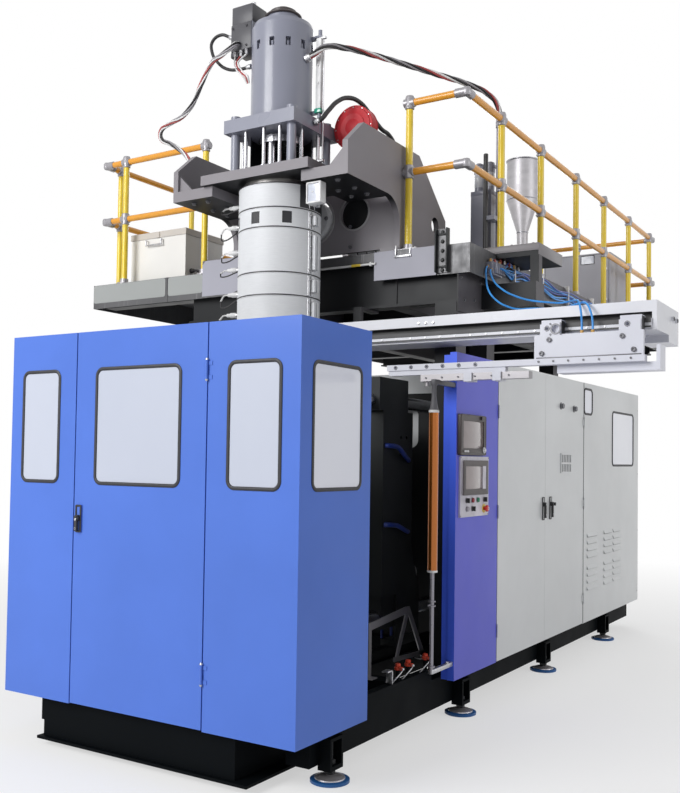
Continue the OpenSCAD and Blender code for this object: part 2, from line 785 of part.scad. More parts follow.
module guard_right_panel() {
    color("#5b82e0") in_frame() {
        difference() {
            union() {
                tray_front([-right_panel_w, 0], [base_top, guard_top]);
                slab([-sheet_t, 0], [0, guard_d], [base_top, guard_top]);
                slab([-30, 0], [guard_d - sheet_t, guard_d], [base_top, guard_top]);
            }
            front_window(-425, -107);
            side_window(-sheet_t - 1, sheet_t + 2);
        }
        for (z = hinge_zs) {
            for (dz = [-45, 25])
                slab([hinge_x, -right_panel_w + 26], [-3, 0], [z + dz, z + dz + 20]);
            for (dz = [-45, 25]) rod_z(hinge_x, hinge_y, [z + dz, z + dz + 20], 2 * hinge_r);
            rod_z(hinge_x, hinge_y, [z - 45, z + 45], 2 * hinge_pin_r);
            rod_z(hinge_x, hinge_y, [z + 44, z + 50], 2 * hinge_r + 2);
        }
    }
}

// Rubber ring and pane that fill a front opening
module front_glazing(a, b) {
    front_plate(-2, 8) difference() {
        window_2d(a, b, window_bottom, window_top);
        window_2d(a, b, window_bottom, window_top, -seal_w);
    }
    front_plate(-0.5, pane_t) window_2d(a, b, window_bottom, window_top, -seal_w);
}

module side_glazing(x, a, b, z0, z1) {
    side_plate(x, 8) difference() {
        window_2d(a, b, z0, z1);
        window_2d(a, b, z0, z1, -seal_w);
    }
    side_plate(x + 1.5, pane_t) window_2d(a, b, z0, z1, -seal_w);
}

module window_panes() {
    color("#d3d8e4") in_frame() {
        front_glazing(-1900, -1600);
        front_glazing(-425, -107);
        side_glazing(-6, 103, 557, window_bottom, window_top);
        side_glazing(-guard_w - 2, 103, 557, window_bottom, window_top);
        side_glazing(-6, 4220, 4450, 2010, 2230);
        side_glazing(-6, 5050, 5765, 1578, 2075);
    }
}

module front_door() {
    z = [base_top + 6, guard_top];
    color("#5b82e0") in_frame() {
        difference() {
            tray_front([door_left, door_right], z);
            front_window(-1323, -725);
            rod_y(lever_x, [-1, sheet_t + 1], lever_z, 16 + 2 * bore_gap);
        }
        difference() {
            slab([lever_x - 22, lever_x + 22], [-6, 0], [lever_z - 76, lever_z + 70]);
            rod_y(lever_x, [-7, 1], lever_z, 16 + 2 * bore_gap);
        }
        for (a = hinge_zs) hinge_knuckle([a - 24.7, a + 24.7])
            slab([door_right - 26, hinge_x], [-3, 0], [a - 24.7, a + 24.7]);
    }
}

module door_window() {
    color("#d3d8e4") in_frame() front_glazing(-1323, -725);
}

// Swing handle turning on a spindle; the grip hangs down from the boss
module door_lever() {
    color("#17181a") in_frame() {
        rod_y(lever_x, [-26, tray_d - 6], lever_z, 16);
        rod_y(lever_x, [-24, -6.3], lever_z, 34);
        slab([lever_x - 9, lever_x + 9], [-28, -16], [lever_z - 70, lever_z + 10]);
    }
}

// Control panel beside the operator, with its sheet cut out for the button shanks
buttons = [["red_button", 1920, 1361], ["green_button", 2000, 1361],
    ["grey_button", 1840, 1308]];
selectors = [["mode_selector", 1832, 1361], ["heater_selector", 2104, 1361],
    ["speed_selector", 1920, 1308]];
stop_place = [2105, 1304];
plate_t = 12;

module shank_bores(x0, x1) {
    for (b = concat(buttons, selectors))
        rod_x([x0, x1], b[1], b[2], button_d + 2 * button_gap);
    rod_x([x0, x1], stop_place[0], stop_place[1], button_d + 2 * button_gap);
}

module control_column() {
    color("#5566c4") in_frame() difference() {
        union() {
            slab([-sheet_t, 0], [panel_front, panel_rear], [base_top, guard_top]);
            for (y = [panel_front, panel_rear - sheet_t])
                slab([-panel_t, 0], [y, y + sheet_t], [base_top, guard_top]);
            for (z = [base_top, guard_top - sheet_t])
                slab([-panel_t, 0], [panel_front, panel_rear], [z, z + sheet_t]);
            difference() {
                slab([-90, -panel_t], [panel_front + 10, panel_rear - 10],
                    [base_top, guard_top - 15]);
                slab([-90 + sheet_t, -panel_t + 1], [panel_front + 13, panel_rear - 13],
                    [base_top + 3, guard_top - 18]);
            }
        }
        shank_bores(-sheet_t - 1, 1);
    }
}

module parison_controller() {
    color("#2a2724") in_frame() difference() {
        union() {
            side_plate(0, 26) translate([1720, 1646]) rounded_2d(380, 247, 8);
            slab([26, 38], [2010, 2050], [1868, 1890]);
        }
        slab([20, 27], [1752, 2068], [1684, 1858]);
    }
}

module operator_panel() {
    color("#c9cbc8") in_frame() difference() {
        union() {
            side_plate(0, plate_t) translate([1742, 1258]) rounded_2d(438, 377, 6);
            side_plate(plate_t, 12) translate([1760, 1395]) rounded_2d(385, 215, 8);
        }
        slab([plate_t + 8, plate_t + 13], [1795, 2060], [1425, 1585]);
        shank_bores(-1, plate_t + 1);
    }
}

module push_button(b) {
    rod_x([-12, plate_t + 5], b[1], b[2], button_d);
    rod_x([plate_t + 5, plate_t + 13], b[1], b[2], 30);
}

module selector(b) {
    rod_x([-12, plate_t + 1], b[1], b[2], button_d);
    rod_x([plate_t + 0.3, plate_t + 12], b[1], b[2], 30);
    slab([plate_t + 12, plate_t + 24], [b[1] - 5, b[1] + 5], [b[2] - 15, b[2] + 15]);
}

module red_button() {
    color("#8e2b2a") in_frame() push_button(buttons[0]);
}

module green_button() {
    color("#2f9a57") in_frame() push_button(buttons[1]);
}

module grey_button() {
    color("#8b8f92") in_frame() push_button(buttons[2]);
}

module mode_selector() {
    color("#1c1c1e") in_frame() selector(selectors[0]);
}

module heater_selector() {
    color("#1c1c1e") in_frame() selector(selectors[1]);
}

module speed_selector() {
    color("#1c1c1e") in_frame() selector(selectors[2]);
}

module emergency_stop() {
    color("#c8302a") in_frame() translate([0, stop_place[0], stop_place[1]])
        rotate([0, 90, 0]) rotate_extrude() polygon([[0, -12], [button_d / 2, -12],
            [button_d / 2, plate_t + 8], [14, plate_t + 14], [21, plate_t + 18],
            [22, plate_t + 24], [18, plate_t + 31], [0, plate_t + 34]]);
}

module light_curtain() {
    x = -20;
    y = 1430;
    color("#a8561f") in_frame() {
        rod_z(x, y, [386, 960], 25);
        rod_z(x, y, [750, 790], 48);
        rod_z(x, y, [957, 1894], 59);
        translate([x, y, 1894]) cylinder(d1=59, d2=34, h=162);
        for (z = [[362, 388], [2030, 2056]])
            slab([x - 14, x + 14], [y - 14, panel_front], z);
    }
}

// Cabinets: a sheet hood over the hydraulics with an electrical cell on the operator side
module door_hinge_fixed(y, z, s) {
    for (dz = [-45, 25]) rod_z(7, y, [z + dz, z + dz + 20], 10);
    rod_z(7, y, [z - 45, z + 45], 5);
    for (dz = [-45, 25]) slab([s > 0 ? 0 : -50, 7], s > 0 ? [y, y + 30] : [y + 2, y + 5],
        [z + dz, z + dz + 20]);
}

module vent_louvre(y, w, z) {
    translate([0, y, z]) rotate([90, 0, 90]) linear_extrude(1)
        square([w, 1]);
    translate([0, y + w, z]) rotate([90, 0, 0]) linear_extrude(w)
        polygon([[-1, 0], [0, 0], [12, 0], [12, 3], [0, 30], [-1, 30]]);
}

door_1_hinge = cabinet_front - 5;
door_2_hinge = door_2_rear + 5;
cabinet_hinge_zs = [480, 1270, 1940];

module cabinet_shell() {
    x_cell = -cell_depth;
    top = guard_top;
    roof = [top - sheet_t, top];
    color("#b4b9bb") in_frame() difference() {
        union() {
            slab([hood_left, x_cell], [hood_front, hood_front + sheet_t], [base_top, top]);
            slab([hood_left, hood_left + sheet_t], [hood_front, cabinet_rear],
                [base_top, top]);
            slab([hood_left, 0], [cabinet_rear - sheet_t, cabinet_rear], [base_top, top]);
            slab([hood_left, -cabinet_door_t - 1], [hood_front, cabinet_rear], roof);
            slab([x_cell, -cabinet_door_t - 1], [cabinet_front, hood_front + 1], roof);
            slab([-cabinet_door_t - 2, 0], [door_2_rear + 2, cabinet_rear], roof);
            slab([-sheet_t, 0], [door_2_rear + 2, cabinet_rear], [base_top, top]);
            slab([x_cell, -cabinet_door_t - 1], [cabinet_front, cabinet_front + sheet_t],
                [base_top, top]);
            slab([x_cell, -cabinet_door_t - 1], [door_2_rear - sheet_t, door_2_rear],
                [base_top, top]);
            slab([-fold_w - 2, 0], [door_2_rear + 2, door_2_rear + 8], [base_top, top]);
            slab([-60, -fold_w], [door_2_rear - 20, door_2_rear + 8], [base_top, top]);
            slab([x_cell, x_cell + sheet_t], [cabinet_front, door_2_rear], [base_top, top]);
            slab([x_cell, -cabinet_door_t - 1], [cabinet_front, door_2_rear],
                [base_top, base_top + sheet_t]);
            slab([base_right - 20, 0], [door_2_rear + 2, cabinet_rear],
                [base_top, base_top + sheet_t]);
            for (z = cabinet_hinge_zs) {
                door_hinge_fixed(door_1_hinge, z, -1);
                door_hinge_fixed(door_2_hinge, z, 1);
            }
            for (c = [[4320, 280], [4800, 250], [5080, 250]], g = [0, 1], i = [0:3])
                vent_louvre(c[0], c[1], 537 + g * 270 + i * 58);
        }
        for (c = [[4320, 280], [4800, 250], [5080, 250]], g = [0, 1], i = [0:3])
            slab([-sheet_t - 1, 10], [c[0] + 4, c[0] + c[1] - 4],
                [537 + g * 270 + i * 58 - 6, 537 + g * 270 + i * 58 + 3]);
        side_plate(-sheet_t - 1, sheet_t + 2) window_2d(4220, 4450, 2010, 2230);
        side_plate(-sheet_t - 1, sheet_t + 2) window_2d(5050, 5765, 1578, 2075);
        for (x = [-560, 2 * axis_x + 560])
            slab([x - 85, x + 85], [3285, 3465], [top - 40, top + 1]);
        for (x = [-856, 2 * axis_x + 856])
            slab([x - 85, x + 85], [5685, 5865], [top - 40, top + 1]);
    }
}

// Door as a folded tray; s is +1 with the hinge at its front edge and -1 at its rear edge
module cabinet_door(y0, y1, hinge, s, lever_y) {
    z = [base_top + 4, guard_top - 1];
    difference() {
        union() {
            slab([-sheet_t, 0], [y0, y1], z);
            for (a = [y0, y1 - sheet_t]) slab([-cabinet_door_t, 0], [a, a + sheet_t], z);
            for (a = [z[0], z[1] - sheet_t])
                slab([-cabinet_door_t, 0], [y0, y1], [a, a + sheet_t]);
            for (a = cabinet_hinge_zs) {
                rod_z(7, hinge, [a - 24.7, a + 24.7], 10);
                slab([0, 3], s > 0 ? [hinge, y0 + 30] : [y1 - 30, hinge],
                    [a - 24.7, a + 24.7]);
            }
            slab([0, 6], [lever_y - 20, lever_y + 20], [1174, 1344]);
        }
        for (a = cabinet_hinge_zs) rod_z(7, hinge, [a - 25, a + 25], 5.3);
        rod_x([-sheet_t - 1, 7], lever_y, 1290, 16 + 2 * bore_gap);
        children();
    }
}

module cabinet_door_front() {
    color("#b4b9bb") in_frame()
        cabinet_door(cabinet_front + 1, door_1_rear - 1, door_1_hinge, 1, 3243);
}

module cabinet_door_rear() {
    y0 = 3633;
    color("#b4b9bb") in_frame() {
        cabinet_door(door_1_rear + 1, door_2_rear, door_2_hinge, -1, 3400)
            for (i = [0:5], z = [1532, 1606])
                slab([-sheet_t - 1, 9], [y0 + 16 + i * 39, y0 + 38 + i * 39], [z, z + 60]);
        difference() {
            slab([0, 8], [y0, y0 + 259], [1521, 1678]);
            for (i = [0:5], z = [1532, 1606])
                slab([-1, 9], [y0 + 16 + i * 39, y0 + 38 + i * 39], [z, z + 60]);
        }
        for (p = [[3638, 2047], [3958, 2040]]) {
            rod_x([0, 10], p[0], p[1], 26);
            rod_x([10, 24], p[0], p[1], 40);
        }
    }
}

module cabinet_lever(y) {
    rod_x([-20, 24], y, 1290, 16);
    rod_x([6.3, 24], y, 1290, 32);
    slab([16, 28], [y - 9, y + 9], [1190, 1300]);
    slab([-19, -14], [y - 9, y + 9], [1290, 1330]);
}

module cabinet_lever_front() {
    color("#17181a") in_frame() cabinet_lever(3243);
}

module cabinet_lever_rear() {
    color("#17181a") in_frame() {
        cabinet_lever(3400);
        slab([24, 46], [3396, 3404], [1278, 1302]);
    }
}

module electrical_plate() {
    x = -cell_depth + sheet_t;
    color("#d8d6cc") in_frame() {
        slab([x, x + 5], [2430, 4150], [400, 2160]);
        for (z = [620, 1080, 1540, 2000]) slab([x + 5, x + 65], [2440, 4140], [z, z + 60]);
        for (z = [760, 1220, 1680], i = [0:8])
            slab([x + 5, x + 115], [2500 + i * 180, 2610 + i * 180], [z, z + 140]);
    }
}

// Gooseneck arm, cut from thick plate; the foot stands on the deck
module arm_2d() {
    difference() {
        union() {
            polygon([[1220, flange_top - flange_t], [1220, 3542], [1403, arm_top],
                [2163, arm_top], [2585, 3336], [2600, deck_z], [1890, deck_z],
                [1890, flange_top - flange_t]]);
            translate([1720, 3163]) square([170, 171]);
        }
        translate([1720, 3163]) circle(r=170);
        translate([2417, 3270]) circle(d=115);
    }
}

module arm(s) {
    inner = axis_x + s * arm_half;
    outer = inner + s * arm_t;
    side_plate(min(inner, outer), arm_t) arm_2d();
    flange = [inner - s * 300, inner];
    slab([min(flange[0], flange[1]), max(flange[0], flange[1])], [1220, 1780],
        [flange_top - flange_t, flange_top]);
    for (y = [1240, 1700]) translate([0, y + 20, 0]) rotate([90, 0, 0])
        linear_extrude(20) polygon([[inner, flange_top], [inner - s * 110, flange_top],
            [inner, flange_top + 110]]);
    foot = [inner - s * 110, outer];
    difference() {
        slab([min(foot[0], foot[1]), max(foot[0], foot[1])], [1890, 2620],
            [deck_z, deck_z + 30]);
        for (y = [1960, 2240, 2540])
            rod_z(foot[0] + s * 40, y, [deck_z - 1, deck_z + 31], 26);
    }
}

module left_arm() {
    color("#8d9292") in_frame() arm(-1);
}

module right_arm() {
    color("#8d9292") in_frame() arm(1);
}

// Plate between the arms that carries the barrel's front end
module barrel_bracket() {
    color("#8d9292") in_frame() difference() {
        slab([axis_x - arm_half, axis_x + arm_half], [1915, 1940],
            [deck_z + 30, barrel_z + 230]);
        rod_y(axis_x, [1914, 1941], barrel_z, 310);
        for (s = [-1, 1]) rod_y(axis_x + s * 330, [1914, 1941], barrel_z + 20, 220);
    }
}

// Head: plate, body with the die, heater bands and the shot cylinder above
module head_plate() {
    color("#6f7476") in_frame() difference() {
        slab([axis_x - 427, axis_x + 427], [parting_y - 315, parting_y + 315],
            [flange_top, head_top]);
        for (s = [-1, 1])
            rod_z(axis_x, parting_y + s * push_rod_y, [flange_top - 1, head_top + 1],
                2 * (push_rod_r + bore_gap));
        for (x = [-390, 390], y = [-270, 0, 270])
            rod_z(axis_x + x, parting_y + y, [head_top - 20, head_top + 1], 44);
    }
}

module head_body() {
    color("#9fa3a4") in_frame() translate([axis_x, parting_y, 0]) difference() {
        union() {
            rotate_extrude($fn=72) polygon([[70, die_z + 20], [130, die_z], [150, die_z],
                [200, die_z + 60], [200, band_edges[0] - 20], [core_r, band_edges[0] - 20],
                [core_r, flange_top], [70, flange_top]]);
            rotate_extrude($fn=48) polygon([[0, die_z - 6], [96, die_z - 6],
                [58, die_z + 60], [58, 3300], [71, 3300], [71, flange_top],
                [0, flange_top]]);
            rod_y(0, [core_r - 20, 370], barrel_z, 130);
        }
        for (s = [-1, 1])
            translate([0, s * push_rod_y, 3040])
                cylinder(r=push_rod_r + bore_gap, h=flange_top - 3039);
    }
}

module heater_bands() {
    color("#d9dcdb") in_frame() translate([axis_x, parting_y, 0]) difference() {
        union() {
            for (i = [0:len(band_edges) - 2])
                translate([0, 0, band_edges[i]])
                    cylinder(r=band_r, h=band_edges[i + 1] - band_edges[i] - band_gap,
                        $fn=72);
            for (i = [0:len(band_edges) - 2])
                slab([band_r - 8, band_r + 26], [-26, 26],
                    [band_edges[i] + 30, band_edges[i + 1] - band_gap - 30]);
        }
        translate([0, 0, band_edges[0] - 1])
            cylinder(r=core_r, h=band_edges[5] - band_edges[0] + 2, $fn=72);
        slab([core_r - 20, band_r + 30], [-5, 5], [band_edges[0] - 1, band_edges[5] + 1]);
        slab([-75, 75], [core_r - 60, band_r + 5], [barrel_z - 75, band_edges[5] + 1]);
        for (a = [0:45:359]) rotate([0, 0, a])
            if (a != 0 && a != 90) slab([core_r - 20, band_r + 5], [-32, 32],
                [band_edges[3] + 22, band_edges[4] - band_gap - 22]);
    }
}

module cylinder_mount() {
    color("#7c8182") in_frame() translate([axis_x, parting_y, 0]) {
        difference() {
            slab([-280, 280], [-262, 262], [mount_z, shot_base]);
            rod_z(0, 0, [mount_z - 1, shot_base + 1], 2 * (piston_rod_r + bore_gap));
        }
        for (x = [-225, 225], y = [-205, 205]) {
            rod_z(x, y, [head_top, mount_z], 60);
            rod_z(x, y, [head_top, head_top + 26], 84);
            rod_z(x, y, [shot_base, shot_base + 30], 66);
        }
    }
}

module shot_cylinder() {
    split = shot_top - 215;
    cavity = [shot_base + 40, shot_top - 60];
    color("#9a9eac") in_frame() translate([axis_x, parting_y, 0]) {
        difference() {
            union() {
                rotate_extrude($fn=72) polygon([[0, shot_base], [shot_r - 20, shot_base],
                    [shot_r, shot_base + 20], [shot_r, shot_top - 45],
                    [shot_r - 13, shot_top - 13], [shot_r - 45, shot_top],
                    [109, shot_top], [109, shot_top + 50], [95, shot_top + 65],
                    [0, shot_top + 65]]);
            }
            translate([0, 0, cavity[0]])
                cylinder(r=piston_r + bore_gap, h=cavity[1] - cavity[0], $fn=72);
            rod_z(0, 0, [shot_base - 1, cavity[0] + 1], 2 * (piston_rod_r + bore_gap));
            for (a = [15:30:359]) rotate([0, 0, a])
                slab([shot_r - 34, shot_r + 1], [-17, 17], [split, split + 58]);
        }
        for (a = [15:30:359]) rotate([0, 0, a])
            rod_z(shot_r - 18, 0, [split, split + 34], 20);
        slab([-370, -200], [-80, 80], [shot_top - 125, shot_top + 175]);
        rod_z(260, 60, [shot_base + 12, shot_top - 65], 26);
        slab([190, 275], [48, 72], [shot_top - 125, shot_top - 101]);
        slab([190, 275], [48, 72], [shot_base + 52, shot_base + 76]);
    }
}

// Piston, its rod, the crosshead and the two push rods that empty the accumulator
module shot_piston() {
    color("#dfe2e4") in_frame() translate([axis_x, parting_y, 0]) {
        translate([0, 0, shot_top - 110]) cylinder(r=piston_r, h=48, $fn=72);
        rod_z(0, 0, [3720, shot_top - 108], 2 * piston_rod_r);
        rod_z(0, 0, [3680, 3725], 2 * 150);
        for (s = [-1, 1]) rod_z(0, s * push_rod_y, [3280, 3690], 2 * push_rod_r);
    }
}

// Extruder: heated barrel, feed block, hopper, gearbox and belt drive
module extruder_barrel() {
    feed = [hopper_y - 200, hopper_y + 200];
    stand_y = zone_front + 4 * zone_pitch - (zone_pitch - zone_l) / 2;
    color("#c4c7c6") in_frame() {
        rod_y(axis_x, [barrel_front - 60, barrel_front], barrel_z, barrel_d + 60);
        rod_y(axis_x, [barrel_front, feed[0]], barrel_z, barrel_d);
        for (y = [zone_front:zone_pitch:feed[0] - zone_l]) rod_y(axis_x, [y, y + zone_l],
            barrel_z, barrel_d + 44);
        slab([axis_x - 170, axis_x + 170], feed, [deck_z + 40, barrel_z + 220]);
        slab([axis_x - 230, axis_x + 230], [feed[0] - 20, feed[1]], [deck_z, deck_z + 40]);
        slab([axis_x - 60, axis_x + 60], [stand_y - 20, stand_y + 20], [deck_z, barrel_z]);
        slab([axis_x - 120, axis_x + 120], [stand_y - 65, stand_y + 65],
            [deck_z, deck_z + 20]);
    }
}

module hopper() {
    r0 = 60;
    r1 = 120;
    r2 = hopper_d / 2;
    w = hopper_wall;
    color("#c9cdd0") in_frame() translate([axis_x, hopper_y, 0]) {
        rotate_extrude($fn=64) polygon([[r0, 3550], [r1, 3970], [r2, 4370],
            [r2, hopper_top - 20], [r2 + 8, hopper_top - 20], [r2 + 8, hopper_top - 8],
            [r2 - 10, hopper_top], [0, hopper_top], [0, hopper_top - w],
            [r2 - 10 - w, hopper_top - w], [r2 - w, hopper_top - 12], [r2 - w, 4371],
            [r1 - w, 3971], [r0 - w, 3550]]);
        difference() {
            union() {
                rod_z(0, 0, [3490, 3510], 260);
                rod_z(0, 0, [3510, 3550], 150);
            }
            rod_z(0, 0, [3489, 3551], 2 * (r0 - w));
        }
        for (a = [0:120:359]) rotate([0, 0, a + 30])
            slab([r2 - 2, r2 + 22], [-12, 12], [4330, 4420]);
    }
}

module extruder_drive() {
    motor_x = axis_x - 514;
    motor_z = deck_z + 360;
    color("#5b6f86") in_frame() {
        translate([0, drive_y, 0]) {
            slab([axis_x - 250, axis_x + 250], [-480, 0], [deck_z, barrel_z + 330]);
            slab([axis_x - 290, axis_x + 290], [-460, -20], [deck_z, deck_z + 35]);
            rod_y(motor_x, [-850, -160], motor_z, 300);
            rod_y(motor_x, [-880, -850], motor_z, 330);
            for (a = [0:20:359]) translate([motor_x, 0, motor_z]) rotate([0, a, 0])
                slab([145, 164], [-800, -220], [-4, 4]);
            rod_y(motor_x, [-160, 0], motor_z, 60);
            slab([motor_x - 130, motor_x + 130], [-780, -240], [deck_z, deck_z + 165]);
            slab([motor_x - 180, axis_x + 200], [0, 80], [deck_z + 60, barrel_z + 370]);
        }
    }
}

module drive_cabinet() {
    color("#a5abad") in_frame() difference() {
        union() {
            slab([-850, -180], [5600, 6200], [deck_z + 60, 3660]);
            slab([-830, -200], [5620, 6180], [deck_z, deck_z + 60]);
        }
        slab([-470, -340], [5598, 5606], [3560, 3640]);
        slab([-830, -200], [5605, 6180], [deck_z + 80, 3640]);
        for (i = [0:5]) slab([-700, -520], [5598, 5606],
            [3140 + i * 24, 3150 + i * 24]);
    }
}

// Take-out: beam with a rail, a carriage on it and a sliding bar beneath
module takeout_beam() {
    z1 = beam_z + beam_tall;
    y0 = beam_front;
    color("#e6e7e4") in_frame() {
        difference() {
            slab([-beam_left, beam_reach], [y0, y0 + beam_deep], [beam_z, z1]);
            slab([-beam_left - 1, beam_reach - 25], [y0 - 1, y0 + 60],
                [z1 - 100, z1 - 62]);
            slab([-beam_left - 1, beam_reach - 25], [y0 + 12, y0 + beam_deep - 12],
                [beam_z + 12, z1 - 112]);
        }
        slab([-beam_left, beam_reach - 25], [y0 - 16, y0 + 1], [beam_z + 10, beam_z + 60]);
        slab([-240, -90], [y0 + beam_deep - 1, deck_front], [beam_z, z1]);
        slab([beam_reach - 155, beam_reach], [y0 + beam_deep - 1, 2110],
            [beam_z - 40, z1]);
        for (y = [1950, 2040]) rod_x([beam_reach, beam_reach + 12], y, z1 - 60, 28);
        slab([-800, -740], [1760, y0 + beam_deep], [z1 - 1, z1]);
    }
}

module runner(x) {
    y1 = beam_front - 0.3;
    difference() {
        slab([x, x + 115], [takeout_y + 24, y1], [beam_z - 45, beam_z + 75]);
        slab([x - 1, x + 116], [beam_front - 16.3, y1 + 1],
            [beam_z + 9.7, beam_z + 60.3]);
    }
    slab([x, x + 115], [takeout_y, takeout_y + 25], [carriage_top - 1, beam_z + 50]);
}

module takeout_carriage() {
    y = takeout_y;
    color("#bfc2c3") in_frame() {
        difference() {
            union() {
                slab([567, 1170], [y, y + 25], [carriage_bottom, carriage_top]);
                runner(600);
                runner(1040);
            }
            for (x = [640, 1085]) rod_y(x, [y - 1, y + 26], beam_z + 25, 20);
            rod_y(690, [y - 1, y + 26], beam_z + 20, 44);
        }
        slab([590, 1035], [y + 24, beam_front + beam_deep - 10], [beam_z - 45, beam_z - 8]);
        difference() {
            slab([rack_right - rack_l, rack_right], [y - 20, y + 40],
                [carriage_bottom - 35, carriage_bottom]);
            for (i = [0:5]) rod_y(rack_right - rack_l + 60 + i * 105, [y - 21, y - 5],
                carriage_bottom - 17, 16);
        }
        slab([-345, 400], [y - 12, y + 32], [2120.3, carriage_bottom - 34]);
        rod_y(-345, [y - 12, y + 32], 2135.3, 30);
        for (x = [150, 330]) difference() {
            slab([x, x + 50], [y - 34, y + 54], [2070, 2121]);
            slab([x - 1, x + 51], [y - 20.3, y + 40.3], [2079.7, 2120.3]);
        }
        slab([690, right_end], [y + 30, y + 145], [2105, 2150]);
        slab([right_end - 20, right_end], [y + 30, y + 145], [2149, 2240]);
        rod_z(820, y + 100, [2149, 2215], 26);
    }
}

module takeout_arm() {
    x1 = 543;
    y = takeout_y;
    color("#d3d5d6") in_frame() {
        slab([x1 - slider_l, x1], [y - 20, y + 40], [2080, 2120]);
        rod_z(x1 - slider_l + 30, y + 10, [upper_bar_z + upper_bar_d / 2 + 7, 2081], 24);
    }
}

// Small pieces on the platform
module junction_box() {
    color("#a9afae") in_frame() difference() {
        slab([-3088, -2508], [2050, 2510], [deck_z, 3363]);
        slab([-3088 + box_wall, -2508 - box_wall], [2050 + box_wall, 2510 - box_wall],
            [deck_z + box_wall, 3364]);
    }
}

module junction_lid() {
    z = 3363.3;
    color("#d9d2bd") in_frame() {
        difference() {
            slab([-3094, -2502], [2044, 2516], [z, 3413]);
            slab([-3094 + box_wall, -2502 - box_wall], [2044 + box_wall, 2516 - box_wall],
                [z - 1, 3413 - box_wall]);
        }
        slab([-2820, -2776], [2036, 2044], [z - 0, z + 42]);
    }
}

module air_unit() {
    color("#8f9698") in_frame() {
        rod_z(-127, 2650, [slab_z, 4020], 40);
        slab([-324, -168], [2610, 2740], [slab_z, 3530]);
        for (x = [-290, -205]) rod_z(x, 2675, [3530, 3740], 64);
        rod_z(-190, 2560, [slab_z, 3770], 30);
        slab([-200, -120], [2550, 2660], [3300, 3330]);
        slab([0, 46], [2150, 2290], [deck_z - 160, deck_z - 80]);
        for (y = [2175, 2215, 2255]) rod_z(23, y, [deck_z - 81, deck_z - 55], 18);
    }
}

module blower() {
    c = [-775, 1750, 3807];
    color("#a33b34") in_frame() {
        rod_y(c[0], [c[1] - 36, c[1] + 36], c[2], 288);
        rod_y(c[0], [c[1] - 52, c[1] - 35], c[2], 180);
        slab([c[0] - 40, axis_x + arm_half], [c[1] - 30, c[1] + 30],
            [c[2] - 167, c[2] - 140]);
    }
}

// Free cables and hoses
module cable_bundle_left() {
    color("#1d1e20") in_frame() tube_along(cable_left_route, 34, 8);
}

module cable_bundle_right() {
    color("#1d1e20") in_frame() tube_along(cable_right_route, 40, 8);
}

module valve_hose() {
    color("#1d1e20") in_frame() tube_along(valve_hose_route, 22, 8);
}

module arm_hose() {
    color("#1d1e20") in_frame() tube_along(arm_hose_route, 30, 8);
}

module air_hose_1() {
    color("#2b63ad") in_frame() tube_along(hose_1_route, 12, 8);
}

module air_hose_2() {
    color("#2b63ad") in_frame() tube_along(hose_2_route, 12, 8);
}

base_frame();
levelling_feet();
tie_rods();
end_plates();
clamp_cylinders();
front_platen();
rear_platen();
platform_frame();
platform_deck();
railing();
guard_frame();
guard_left_panel();
guard_right_panel();
window_panes();
front_door();
door_window();
door_lever();
control_column();
parison_controller();
operator_panel();
red_button();
green_button();
grey_button();
mode_selector();
heater_selector();
speed_selector();
emergency_stop();
light_curtain();
cabinet_shell();
cabinet_door_front();
cabinet_door_rear();
cabinet_lever_front();
cabinet_lever_rear();
electrical_plate();
left_arm();
right_arm();
barrel_bracket();
head_plate();
head_body();
heater_bands();
cylinder_mount();
shot_cylinder();
shot_piston();
extruder_barrel();
extruder_drive();
hopper();
drive_cabinet();
takeout_beam();
takeout_carriage();
takeout_arm();
junction_box();
junction_lid();
air_unit();
blower();
cable_bundle_left();
cable_bundle_right();
valve_hose();
arm_hose();
air_hose_1();
air_hose_2();
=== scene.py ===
# Blow moulding machine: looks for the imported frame.
# Lengths are in metres. at() takes machine axes: x = 0 at the operator side, y = 0 at the
# front guard, z = 0 at the floor, and gives the frame's own coordinates.
import math

import bmesh
import bpy
from mathutils import Matrix, Vector


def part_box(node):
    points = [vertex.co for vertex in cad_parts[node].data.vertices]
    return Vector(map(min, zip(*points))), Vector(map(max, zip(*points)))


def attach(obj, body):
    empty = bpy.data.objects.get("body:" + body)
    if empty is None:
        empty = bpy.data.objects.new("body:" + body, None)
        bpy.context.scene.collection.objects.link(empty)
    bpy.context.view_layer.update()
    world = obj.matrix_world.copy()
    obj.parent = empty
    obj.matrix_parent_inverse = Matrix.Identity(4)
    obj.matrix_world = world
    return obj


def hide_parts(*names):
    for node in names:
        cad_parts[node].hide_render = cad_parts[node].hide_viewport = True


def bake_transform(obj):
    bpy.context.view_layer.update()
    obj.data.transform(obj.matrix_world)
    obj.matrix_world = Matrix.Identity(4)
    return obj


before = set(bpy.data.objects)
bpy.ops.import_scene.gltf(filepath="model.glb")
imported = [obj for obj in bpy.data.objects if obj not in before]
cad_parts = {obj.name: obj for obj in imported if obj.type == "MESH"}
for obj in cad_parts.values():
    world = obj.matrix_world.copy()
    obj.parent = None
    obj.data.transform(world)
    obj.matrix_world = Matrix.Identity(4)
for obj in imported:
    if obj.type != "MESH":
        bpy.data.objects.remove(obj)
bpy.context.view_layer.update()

ORIGIN = Vector((-1.0415, 3.376, 0.0))
AXIS_X = -1.206
PARTING_Y = 1.5
EYE = (2.4632, -3.6357, 1.6126)
DECK_Z = 2.99
GUARD_W, GUARD_TOP = 1.992, 2.275
UP, DOWN = (0, 0, 1), (0, 0, -1)
TO_SIDE, TO_LEFT, TO_FRONT, TO_BACK = (1, 0, 0), (-1, 0, 0), (0, -1, 0), (0, 1, 0)


def at(x, y, z):
    return Vector((x, y, z)) - ORIGIN


